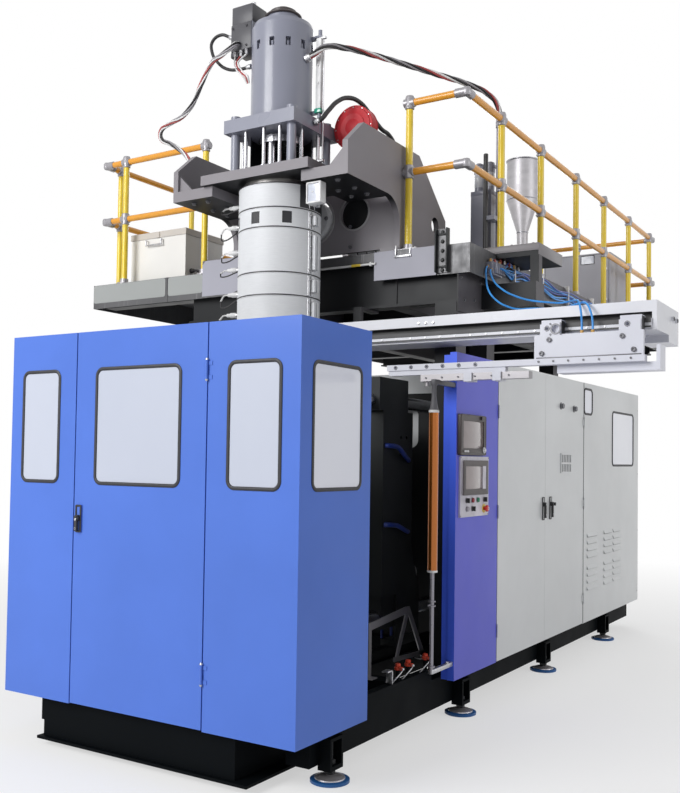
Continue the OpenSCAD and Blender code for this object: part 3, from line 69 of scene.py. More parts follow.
# Camera, solved from the straight edges of the photograph
YAW, PITCH, ROLL = 0.5646, 0.0356, 0.0149
FOCAL_PX, PHOTO_W, PHOTO_H = 953.06, 680, 793
CENTRE_PX = (329.75, 424.04)
SENSOR = 36.0


def make_camera():
    forward = Vector((-math.sin(YAW) * math.cos(PITCH), math.cos(YAW) * math.cos(PITCH),
        math.sin(PITCH)))
    level = Vector((math.cos(YAW), math.sin(YAW), 0))
    up = level.cross(forward)
    right = math.cos(ROLL) * level + math.sin(ROLL) * up
    top = -math.sin(ROLL) * level + math.cos(ROLL) * up
    data = bpy.data.cameras.new("camera")
    data.sensor_width = SENSOR
    data.lens = FOCAL_PX * SENSOR / PHOTO_H
    data.shift_x = (PHOTO_W / 2 - CENTRE_PX[0]) / PHOTO_H
    data.shift_y = (CENTRE_PX[1] - PHOTO_H / 2) / PHOTO_H
    cam = bpy.data.objects.new("camera", data)
    spin = Matrix((right, top, -forward)).transposed().to_4x4()
    cam.matrix_world = Matrix.Translation(at(*EYE)) @ spin
    bpy.context.scene.collection.objects.link(cam)
    bpy.context.scene.camera = cam


make_camera()


# Procedural materials
MATERIALS = {}


def new_material(name):
    mat = bpy.data.materials.new(name)
    mat.use_nodes = True
    MATERIALS[name] = mat
    nodes = mat.node_tree.nodes
    return nodes, mat.node_tree.links, nodes["Principled BSDF"]


def noise(nodes, links, scale, detail=3.0, rough=0.55, stretch=(1, 1, 1)):
    coord = nodes.new("ShaderNodeTexCoord")
    place = nodes.new("ShaderNodeMapping")
    place.inputs["Scale"].default_value = stretch
    tex = nodes.new("ShaderNodeTexNoise")
    tex.inputs["Scale"].default_value = scale
    tex.inputs["Detail"].default_value = detail
    tex.inputs["Roughness"].default_value = rough
    links.new(coord.outputs["Object"], place.inputs["Vector"])
    links.new(place.outputs["Vector"], tex.inputs["Vector"])
    return tex.outputs["Fac"]


def ramp(nodes, links, source, stops):
    node = nodes.new("ShaderNodeValToRGB")
    elements = node.color_ramp.elements
    while len(elements) < len(stops):
        elements.new(0.5)
    for element, (place, value) in zip(elements, stops):
        element.position = place
        rgb = value if isinstance(value, (tuple, list)) else (value, value, value)
        element.color = (*rgb[:3], 1)
    links.new(source, node.inputs["Fac"])
    return node.outputs["Color"]


def bump(nodes, links, source, strength, distance, bsdf):
    node = nodes.new("ShaderNodeBump")
    node.inputs["Strength"].default_value = strength
    node.inputs["Distance"].default_value = distance
    links.new(source, node.inputs["Height"])
    links.new(node.outputs["Normal"], bsdf.inputs["Normal"])


def shade(rgb, k):
    return tuple(min(1.0, c * k) for c in rgb)


def mix_colour(nodes, links, fac, a, b):
    node = nodes.new("ShaderNodeMix")
    node.data_type = "RGBA"
    links.new(fac, node.inputs["Factor"])
    for key, value in (("A", a), ("B", b)):
        socket = [s for s in node.inputs if s.name == key and s.type == "RGBA"][0]
        if isinstance(value, (tuple, list)):
            socket.default_value = (*value[:3], 1)
        else:
            links.new(value, socket)
    return [s for s in node.outputs if s.type == "RGBA"][0]


def turned_to(nodes, links, axis, low, high):
    """0 to 1 as a surface turns to face along an axis of its own piece: the mask for painting light
    and shade by face direction.
    """
    coord = nodes.new("ShaderNodeTexCoord")
    split = nodes.new("ShaderNodeSeparateXYZ")
    links.new(coord.outputs["Normal"], split.inputs[0])
    mask = nodes.new("ShaderNodeMapRange")
    mask.inputs["From Min"].default_value = low
    mask.inputs["From Max"].default_value = high
    links.new(split.outputs[axis], mask.inputs["Value"])
    return mask.outputs["Result"]


def paint(name, rgb, rough=0.35, metal=0.0, grime=0.12, peel=0.035, coat=0.0, spread=0.06,
        gloss=0.35, faces=()):
    """Sprayed paint: cloudy tone, dust in large soft patches, orange peel; faces gives painted
    light and shade, a lighter or darker colour on faces turned along an axis.
    """
    nodes, links, bsdf = new_material(name)
    cloud = noise(nodes, links, 1.3, 4)
    dust = ramp(nodes, links, noise(nodes, links, 2.2, 3, 0.5), [(0.45, 0.0), (0.85, grime)])
    tone = ramp(nodes, links, cloud, [(0.3, shade(rgb, 1 - spread)), (0.7, shade(rgb, 1 + spread))])
    dull = shade((0.5 * (rgb[0] + 0.32), 0.5 * (rgb[1] + 0.3), 0.5 * (rgb[2] + 0.27)), 0.8)
    colour = mix_colour(nodes, links, dust, tone, dull)
    # painted light and shade: faces turned along the axis take the lighter or darker colour
    for axis, low, high, painted_face_colour in faces:
        colour = mix_colour(nodes, links, turned_to(nodes, links, axis, low, high), colour, painted_face_colour)
    links.new(colour, bsdf.inputs["Base Color"])
    links.new(ramp(nodes, links, noise(nodes, links, 5, 2, 0.4),
        [(0.25, max(rough - 0.04, 0.02)), (0.75, min(rough + 0.06, 1))]), bsdf.inputs["Roughness"])
    bsdf.inputs["Metallic"].default_value = metal
    bsdf.inputs["Specular IOR Level"].default_value = gloss
    bsdf.inputs["Coat Weight"].default_value = coat
    bsdf.inputs["Coat Roughness"].default_value = 0.12
    bump(nodes, links, noise(nodes, links, 420, 2), peel, 0.0003, bsdf)


def brushed(name, rgb, rough=0.3, stretch=(1, 1, 40), scale=30, metal=1.0, spread=0.12):
    """Metal with fine lines along one axis and faint stains."""
    nodes, links, bsdf = new_material(name)
    lines = noise(nodes, links, scale, 3, 0.6, stretch)
    stain = noise(nodes, links, 3, 5)
    tone = ramp(nodes, links, lines, [(0.3, shade(rgb, 1 - spread)), (0.7, shade(rgb, 1 + spread))])
    dark = ramp(nodes, links, stain, [(0.5, 0.0), (0.8, 0.35)])
    links.new(mix_colour(nodes, links, dark, tone, shade(rgb, 0.72)), bsdf.inputs["Base Color"])
    links.new(ramp(nodes, links, lines, [(0.2, rough * 0.75), (0.8, min(rough * 1.4, 1))]),
        bsdf.inputs["Roughness"])
    bsdf.inputs["Metallic"].default_value = metal
    bump(nodes, links, lines, 0.12, 0.0005, bsdf)


def rubber(name, rgb, rough=0.6, scale=120):
    nodes, links, bsdf = new_material(name)
    grain = noise(nodes, links, scale, 3)
    links.new(ramp(nodes, links, noise(nodes, links, 6, 4),
        [(0.3, shade(rgb, 0.8)), (0.75, shade(rgb, 1.35))]), bsdf.inputs["Base Color"])
    links.new(ramp(nodes, links, grain, [(0.2, rough - 0.1), (0.8, min(1, rough + 0.15))]),
        bsdf.inputs["Roughness"])
    bump(nodes, links, grain, 0.2, 0.0006, bsdf)


def glow_screen(name, rgb, tint):
    nodes, links, bsdf = new_material(name)
    haze = noise(nodes, links, 7, 4)
    links.new(ramp(nodes, links, haze, [(0.25, rgb), (0.8, tint)]), bsdf.inputs["Base Color"])
    links.new(ramp(nodes, links, noise(nodes, links, 30, 3), [(0.3, 0.08), (0.7, 0.22)]),
        bsdf.inputs["Roughness"])
    bsdf.inputs["Coat Weight"].default_value = 0.6


def chequer(name, rgb):
    """Tread plate: short raised lozenges in two directions."""
    nodes, links, bsdf = new_material(name)
    coord = nodes.new("ShaderNodeTexCoord")
    waves = []
    for angle in (math.pi / 4, -math.pi / 4):
        place = nodes.new("ShaderNodeMapping")
        place.inputs["Rotation"].default_value = (0, 0, angle)
        links.new(coord.outputs["Object"], place.inputs["Vector"])
        wave = nodes.new("ShaderNodeTexVoronoi")
        wave.inputs["Scale"].default_value = 28
        place.inputs["Scale"].default_value = (1, 2.6, 0.01)
        links.new(place.outputs["Vector"], wave.inputs["Vector"])
        waves.append(wave.outputs["Distance"])
    least = nodes.new("ShaderNodeMath")
    least.operation = "MINIMUM"
    links.new(waves[0], least.inputs[0])
    links.new(waves[1], least.inputs[1])
    lozenge = ramp(nodes, links, least.outputs[0], [(0.12, 1.0), (0.26, 0.0)])
    tone = ramp(nodes, links, noise(nodes, links, 2.2, 5),
        [(0.3, shade(rgb, 0.85)), (0.75, shade(rgb, 1.15))])
    links.new(mix_colour(nodes, links, lozenge, tone, shade(rgb, 1.25)), bsdf.inputs["Base Color"])
    bsdf.inputs["Metallic"].default_value = 0.35
    links.new(ramp(nodes, links, noise(nodes, links, 15, 3), [(0.3, 0.35), (0.8, 0.6)]),
        bsdf.inputs["Roughness"])
    bump(nodes, links, lozenge, 0.4, 0.002, bsdf)


def pane(name, rgb, dark):
    """Clear sheet seen against a bright hall: the hall's light is painted into the base colour as a
    pale, slightly uneven painted reflection; glossy.
    """
    nodes, links, bsdf = new_material(name)
    haze = noise(nodes, links, 1.6, 3, 0.5, (1, 1, 0.5))
    links.new(ramp(nodes, links, haze, [(0.3, dark), (0.72, rgb)]), bsdf.inputs["Base Color"])
    links.new(ramp(nodes, links, noise(nodes, links, 22, 3), [(0.3, 0.06), (0.7, 0.16)]),
        bsdf.inputs["Roughness"])
    bsdf.inputs["Coat Weight"].default_value = 0.5
    bump(nodes, links, noise(nodes, links, 2.5, 2), 0.05, 0.004, bsdf)


def seen_ray(nodes, links):
    """1 where the camera, a mirror or glass sees the surface, 0 for the light it gives."""
    path = nodes.new("ShaderNodeLightPath")
    total = path.outputs["Is Camera Ray"]
    for name in ("Is Glossy Ray", "Is Transmission Ray"):
        more = nodes.new("ShaderNodeMath")
        more.operation = "MAXIMUM"
        links.new(total, more.inputs[0])
        links.new(path.outputs[name], more.inputs[1])
        total = more.outputs[0]
    return total


FADE_START, FADE_END, NEAR_GLOW = 3.0, 9.0, 0.55


def floor_look():
    """Near-white floor that keeps the shadow near the machine and runs out into white."""
    nodes, links, bsdf = new_material("floor_pale")
    links.new(ramp(nodes, links, noise(nodes, links, 0.35, 2),
        [(0.3, (0.9, 0.9, 0.905)), (0.7, (0.93, 0.93, 0.935))]), bsdf.inputs["Base Color"])
    bsdf.inputs["Roughness"].default_value = 0.75
    bsdf.inputs["Specular IOR Level"].default_value = 0.2
    coord = nodes.new("ShaderNodeTexCoord")
    far = nodes.new("ShaderNodeVectorMath")
    far.operation = "LENGTH"
    links.new(coord.outputs["Object"], far.inputs[0])
    white = nodes.new("ShaderNodeMapRange")
    white.inputs["From Min"].default_value = FADE_START
    white.inputs["From Max"].default_value = FADE_END
    white.inputs["To Min"].default_value = NEAR_GLOW
    links.new(far.outputs["Value"], white.inputs["Value"])
    share = nodes.new("ShaderNodeMath")
    share.operation = "MULTIPLY"
    links.new(white.outputs["Result"], share.inputs[0])
    links.new(seen_ray(nodes, links), share.inputs[1])
    glow = nodes.new("ShaderNodeEmission")
    both = nodes.new("ShaderNodeMixShader")
    links.new(share.outputs[0], both.inputs[0])
    links.new(bsdf.outputs[0], both.inputs[1])
    links.new(glow.outputs[0], both.inputs[2])
    links.new(both.outputs[0], nodes["Material Output"].inputs["Surface"])


def make_paints():
    paint("guard_paint", (0.09, 0.188, 0.63), rough=0.34, grime=0.015, coat=0.06, gloss=0.15)
    paint("cabinet_silver", (0.66, 0.675, 0.685), rough=0.34, metal=0.15, grime=0.03)
    # panel_blue: faces turned to the front (-y) are painted lighter and bluer, painted light on the
    # column's fold
    paint("panel_blue", (0.125, 0.135, 0.66), rough=0.34, grime=0.02, coat=0.06, gloss=0.15,
        faces=((1, -0.5, -0.9, (0.075, 0.16, 0.95)),))
    paint("black_paint", (0.003, 0.004, 0.005), rough=0.55, grime=0.005, gloss=0.04)
    paint("cast_dark", (0.022, 0.025, 0.026), rough=0.45, grime=0.06, gloss=0.25)
    # dark_grey: +x faces painted lighter, front (-y) faces painted darker, undersides painted near
    # black: painted light and shade
    paint("dark_grey", (0.07, 0.072, 0.078), rough=0.45, grime=0.04, gloss=0.2,
        faces=((0, 0.5, 0.9, (0.095, 0.09, 0.1)), (1, -0.5, -0.9, (0.014, 0.015, 0.017)),
        (2, -0.5, -0.9, (0.006, 0.007, 0.008))))
    # arm_grey: undersides painted near black, painted shade under the arms
    paint("arm_grey", (0.26, 0.245, 0.265), rough=0.4, grime=0.05, gloss=0.25,
        faces=((2, -0.5, -0.9, (0.012, 0.013, 0.015)),))
    paint("head_grey", (0.255, 0.265, 0.33), rough=0.3, grime=0.06, coat=0.3)
    paint("fascia_light", (0.4, 0.4, 0.46), rough=0.4, grime=0.05, gloss=0.2)
    paint("beam_white", (0.72, 0.73, 0.78), rough=0.3, grime=0.05)
    paint("carriage_white", (0.66, 0.67, 0.74), rough=0.32, grime=0.05)
    paint("bar_grey", (0.4, 0.385, 0.4), rough=0.34, metal=0.3, grime=0.1)
    # one yellow paint, painted twice: orange on the rails as painted shade, lemon on the posts as
    # painted light
    paint("rail_yellow_shaded", (0.82, 0.36, 0.035), rough=0.26, grime=0.05, coat=0.35)
    paint("post_yellow_lit", (0.85, 0.62, 0.035), rough=0.26, grime=0.05, coat=0.35)
    paint("amber", (0.4, 0.12, 0.014), rough=0.2, metal=0.7, grime=0.02, coat=0.5)
    paint("blower_red", (0.52, 0.03, 0.04), rough=0.4, grime=0.02, gloss=0.2)
    paint("motor_blue", (0.1, 0.17, 0.27), rough=0.4)
    paint("fascia_pale", (0.36, 0.375, 0.37), rough=0.4, grime=0.05, gloss=0.2)
    paint("box_beige", (0.62, 0.585, 0.54), rough=0.45)
    paint("lid_cream", (0.86, 0.85, 0.82), rough=0.4, grime=0.02)
    paint("box_grey", (0.42, 0.42, 0.47), rough=0.42)
    paint("clamp_black", (0.014, 0.015, 0.017), rough=0.4, grime=0.05, gloss=0.2)
    paint("pad_blue", (0.02, 0.12, 0.36), rough=0.35)
    paint("lube_red", (0.62, 0.055, 0.02), rough=0.35)
    paint("fitting_grey", (0.36, 0.35, 0.37), rough=0.34, metal=0.45, grime=0.08)
    paint("foot_silver", (0.52, 0.5, 0.52), rough=0.3, metal=0.6)
    paint("seam_dark", (0.05, 0.05, 0.055), rough=0.4)
    paint("block_dark", (0.085, 0.085, 0.095), rough=0.38)
    paint("boot_grey", (0.1, 0.1, 0.11), rough=0.45)
    paint("ring_grey", (0.3, 0.29, 0.31), rough=0.3, metal=0.5)
    paint("knob_grey", (0.16, 0.16, 0.175), rough=0.34, metal=0.3)
    paint("edge_light", (0.34, 0.335, 0.35), rough=0.34, metal=0.2)
    paint("pad_grey", (0.24, 0.225, 0.235), rough=0.36)
    paint("pole_grey", (0.3, 0.29, 0.33), rough=0.28, metal=0.5)
    paint("deck_edge", (0.13, 0.12, 0.125), rough=0.4, metal=0.2)
    paint("fit_amber", (0.62, 0.36, 0.1), rough=0.3)
    paint("fit_red", (0.42, 0.06, 0.05), rough=0.32)


def make_metals():
    brushed("chrome_rod", (0.42, 0.42, 0.45), 0.22, spread=0.06)
    brushed("stainless", (0.46, 0.45, 0.47), 0.42, (1, 1, 5), 3, metal=0.7, spread=0.14)
    brushed("zinc", (0.5, 0.5, 0.52), 0.36, (1, 1, 1), 50)
    brushed("band_silver", (0.72, 0.735, 0.76), 0.58, (1, 1, 25), 18, metal=0.08, spread=0.05)
    brushed("die_steel", (0.34, 0.33, 0.32), 0.36, (1, 1, 12), 25)
    chequer("tread_plate", (0.1, 0.1, 0.105))


def make_rubbers():
    rubber("cable_black", (0.014, 0.013, 0.015), 0.5)
    rubber("seal_black", (0.014, 0.014, 0.018), 0.5)
    rubber("grip_black", (0.02, 0.02, 0.022), 0.4)
    rubber("hose_blue", (0.045, 0.3, 0.8), 0.28)
    rubber("hose_navy", (0.02, 0.05, 0.3), 0.35)
    rubber("wire_white", (0.7, 0.7, 0.7), 0.5)
    rubber("wire_red", (0.36, 0.06, 0.06), 0.45)
    rubber("wire_grey", (0.3, 0.29, 0.31), 0.5)
    rubber("plastic_white", (0.74, 0.74, 0.75), 0.4)
    rubber("plate_grey", (0.58, 0.56, 0.62), 0.42)
    rubber("bezel_dark", (0.045, 0.035, 0.035), 0.38)
    rubber("key_grey", (0.34, 0.32, 0.36), 0.45)
    rubber("button_red", (0.28, 0.012, 0.03), 0.3)
    rubber("button_green", (0.01, 0.2, 0.1), 0.3)
    rubber("stop_red", (0.62, 0.03, 0.025), 0.28)
    rubber("stop_yellow", (0.8, 0.56, 0.05), 0.4)


def make_glass():
    glow_screen("screen_brown", (0.27, 0.22, 0.215), (0.34, 0.29, 0.285))
    glow_screen("gauge_glass", (0.62, 0.68, 0.7), (0.8, 0.84, 0.86))
    glow_screen("scale_green", (0.02, 0.3, 0.2), (0.05, 0.42, 0.28))
    glow_screen("bowl_clear", (0.5, 0.52, 0.58), (0.66, 0.68, 0.74))
    # pale window colours are painted reflection of the bright hall; the side panes are painted near
    # white
    pane("pane_painted_reflection", (0.52, 0.555, 0.65), (0.48, 0.515, 0.61))
    pane("pane_smoke", (0.34, 0.36, 0.46), (0.24, 0.26, 0.34))
    pane("pane_side_painted_reflection", (0.86, 0.88, 0.96), (0.78, 0.8, 0.9))


make_paints()
make_metals()
make_rubbers()
make_glass()
floor_look()


def use(obj, name):
    obj.data.materials.clear()
    obj.data.materials.append(MATERIALS[name])
    return obj


# Free cords first: routes are those of the solids, in metres
CORDS = {
    "cable_bundle_left": ("cable_black", 0.034, "limp", "loose", [
        (-1.510, 1.409, 4.420), (-1.514, 1.380, 4.408), (-1.560, 1.360, 4.370),
        (-1.610, 1.350, 4.340), (-1.670, 1.340, 4.310), (-1.735, 1.345, 4.245),
        (-1.800, 1.355, 4.155), (-1.890, 1.370, 4.045), (-1.995, 1.385, 3.990),
        (-2.110, 1.390, 3.965), (-2.190, 1.400, 3.935), (-2.195, 1.405, 3.880),
        (-2.110, 1.415, 3.830), (-2.000, 1.430, 3.750), (-1.921, 1.440, 3.655)]),
    "cable_bundle_right": ("cable_black", 0.040, "stiff", "taut", [
        (-0.989, 1.480, 4.235), (-0.955, 1.482, 4.248), (-0.890, 1.530, 4.305),
        (-0.820, 1.650, 4.330), (-0.700, 1.840, 4.325), (-0.560, 2.030, 4.300),
        (-0.395, 2.220, 4.260), (-0.250, 2.400, 4.225), (-0.170, 2.520, 4.190),
        (-0.134, 2.610, 4.140), (-0.127, 2.648, 4.080), (-0.127, 2.650, 4.021)]),
    "valve_hose": ("cable_black", 0.022, "medium", "loose", [
        (-1.583, 1.450, 4.490), (-1.620, 1.448, 4.505), (-1.690, 1.435, 4.530),
        (-1.745, 1.415, 4.490), (-1.740, 1.405, 4.410), (-1.680, 1.400, 4.320),
        (-1.590, 1.398, 4.255), (-1.490, 1.400, 4.235), (-1.397, 1.400, 4.235)]),
    "arm_hose": ("cable_black", 0.030, "stiff", "loose", [
        (-0.918, 1.470, 3.790), (-0.880, 1.478, 3.805), (-0.845, 1.515, 3.870),
        (-0.825, 1.590, 3.950), (-0.800, 1.680, 4.000), (-0.770, 1.770, 4.000),
        (-0.740, 1.875, 3.940), (-0.715, 1.980, 3.870), (-0.715, 2.090, 3.860),
        (-0.725, 2.195, 3.820), (-0.745, 2.290, 3.730), (-0.755, 2.370, 3.600),
        (-0.760, 2.420, 3.430), (-0.760, 2.430, 3.210), (-0.760, 2.430, 2.993)]),
    "air_hose_1": ("hose_blue", 0.012, "medium", "hanging", [
        (0.010, 2.147, 2.885), (0.010, 2.118, 2.868), (0.020, 2.092, 2.795),
        (0.050, 2.065, 2.705), (0.120, 2.035, 2.630), (0.210, 1.985, 2.580),
        (0.300, 1.930, 2.550), (0.425, 1.865, 2.535), (0.570, 1.800, 2.515),
        (0.680, 1.730, 2.506), (0.770, 1.650, 2.508), (0.830, 1.590, 2.500),
        (0.870, 1.545, 2.450), (0.892, 1.518, 2.385), (0.895, 1.513, 2.321)]),
    "air_hose_2": ("hose_blue", 0.012, "medium", "hanging", [
        (0.036, 2.147, 2.860), (0.038, 2.118, 2.845), (0.070, 2.095, 2.775),
        (0.145, 2.060, 2.705), (0.255, 2.005, 2.645), (0.375, 1.940, 2.600),
        (0.500, 1.880, 2.570), (0.610, 1.815, 2.548), (0.690, 1.740, 2.540),
        (0.750, 1.660, 2.530), (0.790, 1.592, 2.510), (0.818, 1.545, 2.450),
        (0.832, 1.518, 2.385), (0.835, 1.513, 2.321)]),
}


def smooth_curve(name, points, radius, steps=6):
    """A tube on one smooth curve through the points."""
    data = bpy.data.curves.new(name, "CURVE")
    data.dimensions = "3D"
    data.bevel_depth = radius
    data.bevel_resolution = 4
    data.resolution_u = steps
    data.use_fill_caps = True
    spline = data.splines.new("BEZIER")
    spline.bezier_points.add(len(points) - 1)
    for point, place in zip(spline.bezier_points, points):
        point.co = at(*place)
        point.handle_left_type = point.handle_right_type = "AUTO"
    obj = bpy.data.objects.new(name, data)
    bpy.context.scene.collection.objects.link(obj)
    return obj


def route_points(obj, per_span=20):
    """Points along a curve object's own line."""
    points = obj.data.splines[0].bezier_points
    line = [points[0].co.copy()]
    for a, b in zip(points[:-1], points[1:]):
        for i in range(1, per_span + 1):
            t = i / per_span
            line.append((1 - t) ** 3 * a.co + 3 * (1 - t) ** 2 * t * a.handle_right
                + 3 * (1 - t) * t * t * b.handle_left + t ** 3 * b.co)
    return line


def as_mesh(obj):
    """The curve's tube as a mesh of its own, in place of the curve."""
    graph = bpy.context.evaluated_depsgraph_get()
    mesh = bpy.data.meshes.new_from_object(obj.evaluated_get(graph))
    name = obj.name
    bpy.data.objects.remove(obj)
    tube = bpy.data.objects.new(name, mesh)
    bpy.context.scene.collection.objects.link(tube)
    return tube


def hoop(centre, u, v, r, sides):
    """Points of a circle in the plane of two unit vectors."""
    return [centre + r * (math.cos(t) * u + math.sin(t) * v)
        for t in (2 * math.pi * i / sides for i in range(sides))]


WIRE_SHARE = 0.368  # of the bundle's radius, so that five wires lie round a core
BUNDLES = {"cable_bundle_left": ("wire_white", "wire_grey", "cable_black", "wire_white",
                                 "wire_red"),
           "cable_bundle_right": ("wire_grey", "cable_black", "wire_white", "wire_red",
                                  "cable_black")}


def lay_strands(obj, line, radius, looks, pitch=0.5, sides=8):
    """Wires laid round each other inside the bundle's own diameter."""
    bm = bmesh.new()
    wire = radius * WIRE_SHARE
    places, side, run = [], None, 0.0
    for i, p in enumerate(line):
        ahead = (line[min(i + 1, len(line) - 1)] - line[max(i - 1, 0)]).normalized()
        side = side or ahead.orthogonal()
        side = (side - side.dot(ahead) * ahead).normalized()
        if i:
            run += (p - line[i - 1]).length
        places.append((p, side.copy(), ahead.cross(side), run))
    for k in range(len(looks) + 1):
        core = k == len(looks)
        rings = []
        for p, u, v, run in places:
            t = 2 * math.pi * (k / len(looks) + run / pitch)
            off = 0 if core else radius - wire
            r = (radius - 2 * wire) * 0.98 if core else wire * 0.985
            centre = p + off * (math.cos(t) * u + math.sin(t) * v)
            rings.append([bm.verts.new(point) for point in hoop(centre, u, v, r, sides)])
        for a, b in zip(rings[:-1], rings[1:]):
            for j in range(sides):
                n = (j + 1) % sides
                bm.faces.new((a[j], a[n], b[n], b[j])).material_index = k % len(looks)
        bm.faces.new(rings[0][::-1])
        bm.faces.new(rings[-1])
    bmesh.ops.recalc_face_normals(bm, faces=bm.faces)
    bm.to_mesh(obj.data)
    bm.free()
    obj.data.polygons.foreach_set("use_smooth", [True] * len(obj.data.polygons))
    for look in looks:
        obj.data.materials.append(MATERIALS[look])


def make_cords():
    for name, (mat, width, stiffness, lay, points) in CORDS.items():
        hose = smooth_curve(name + "_look", points, width / 2)
        bpy.context.view_layer.update()
        line = route_points(hose)
        hose = as_mesh(hose)
        if name.startswith("air_hose"):
            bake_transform(hose)
        else:
            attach(hose, "root")
        hose.data.materials.clear()
        if name in BUNDLES:
            lay_strands(hose, line, width / 2, BUNDLES[name])
        else:
            hose.data.materials.append(MATERIALS[mat])
        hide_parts(name)


make_cords()

NODE_LOOKS = {
    "base_frame": "black_paint", "levelling_feet": "black_paint", "tie_rods": "chrome_rod",
    "end_plates": "clamp_black", "clamp_cylinders": "clamp_black", "front_platen": "cast_dark",
    "rear_platen": "cast_dark", "platform_frame": "dark_grey", "platform_deck": "tread_plate",
    "railing": "post_yellow_lit", "guard_frame": "black_paint", "guard_left_panel": "guard_paint",
    "guard_right_panel": "guard_paint", "window_panes": "pane_painted_reflection",
    "front_door": "guard_paint", "door_window": "pane_painted_reflection", "door_lever": "grip_black",
    "control_column": "panel_blue", "parison_controller": "bezel_dark",
    "operator_panel": "plate_grey", "red_button": "button_red",
    "green_button": "button_green", "grey_button": "key_grey", "mode_selector": "grip_black",
    "heater_selector": "grip_black", "speed_selector": "grip_black",
    "emergency_stop": "stop_red", "light_curtain": "amber",
    "cabinet_shell": "cabinet_silver", "cabinet_door_front": "cabinet_silver",
    "cabinet_door_rear": "cabinet_silver", "cabinet_lever_front": "grip_black",
    "cabinet_lever_rear": "grip_black", "electrical_plate": "zinc", "left_arm": "arm_grey",
    "right_arm": "arm_grey", "barrel_bracket": "arm_grey", "head_plate": "arm_grey",
    "head_body": "die_steel", "heater_bands": "band_silver", "cylinder_mount": "head_grey",
    "shot_cylinder": "head_grey", "shot_piston": "chrome_rod",
    "extruder_barrel": "band_silver", "extruder_drive": "motor_blue", "hopper": "stainless",
    "drive_cabinet": "box_grey", "takeout_beam": "beam_white",
    "takeout_carriage": "carriage_white", "takeout_arm": "bar_grey",
    "junction_box": "lid_cream", "junction_lid": "box_beige", "air_unit": "head_grey",
    "blower": "blower_red"}


def dress_nodes():
    for name, look in NODE_LOOKS.items():
        use(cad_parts[name], look)


dress_nodes()


# Detail pieces, each one mesh made from machine axes in metres
LEAST_R = 0.00015  # keeps a turned point from closing up
LEAST_CORNER_R = 0.0005


def polar(a, b, r, degrees):
    t = math.radians(degrees)
    return a + r * math.cos(t), b + r * math.sin(t)


def circle(a, b, r, count, first=0):
    """Points evenly round a circle, from the first angle in degrees."""
    return [polar(a, b, r, first + 360 * i / count) for i in range(count)]


def stepped(r, height, top_r, top):
    """Profile of a low round head with a narrower top."""
    return [(r, 0), (r, height), (top_r, top)]


def square_frame(direction):
    """Two unit vectors at right angles to a direction."""
    w = Vector(direction).normalized()
    u = w.cross((0, 0, 1) if abs(w.z) < 0.9 else (1, 0, 0)).normalized()
    return u, w.cross(u).normalized(), w


def round_outline(a0, a1, b0, b1, r, steps=8):
    """Corner points of a rounded rectangle, counter-clockwise."""
    points = []
    r = max(r, LEAST_CORNER_R)
    for ca, cb, start in ((a1 - r, b1 - r, 0), (a0 + r, b1 - r, 90), (a0 + r, b0 + r, 180),
            (a1 - r, b0 + r, 270)):
        for i in range(steps + 1):
            points.append(polar(ca, cb, r, start + 90 * i / steps))
    return points


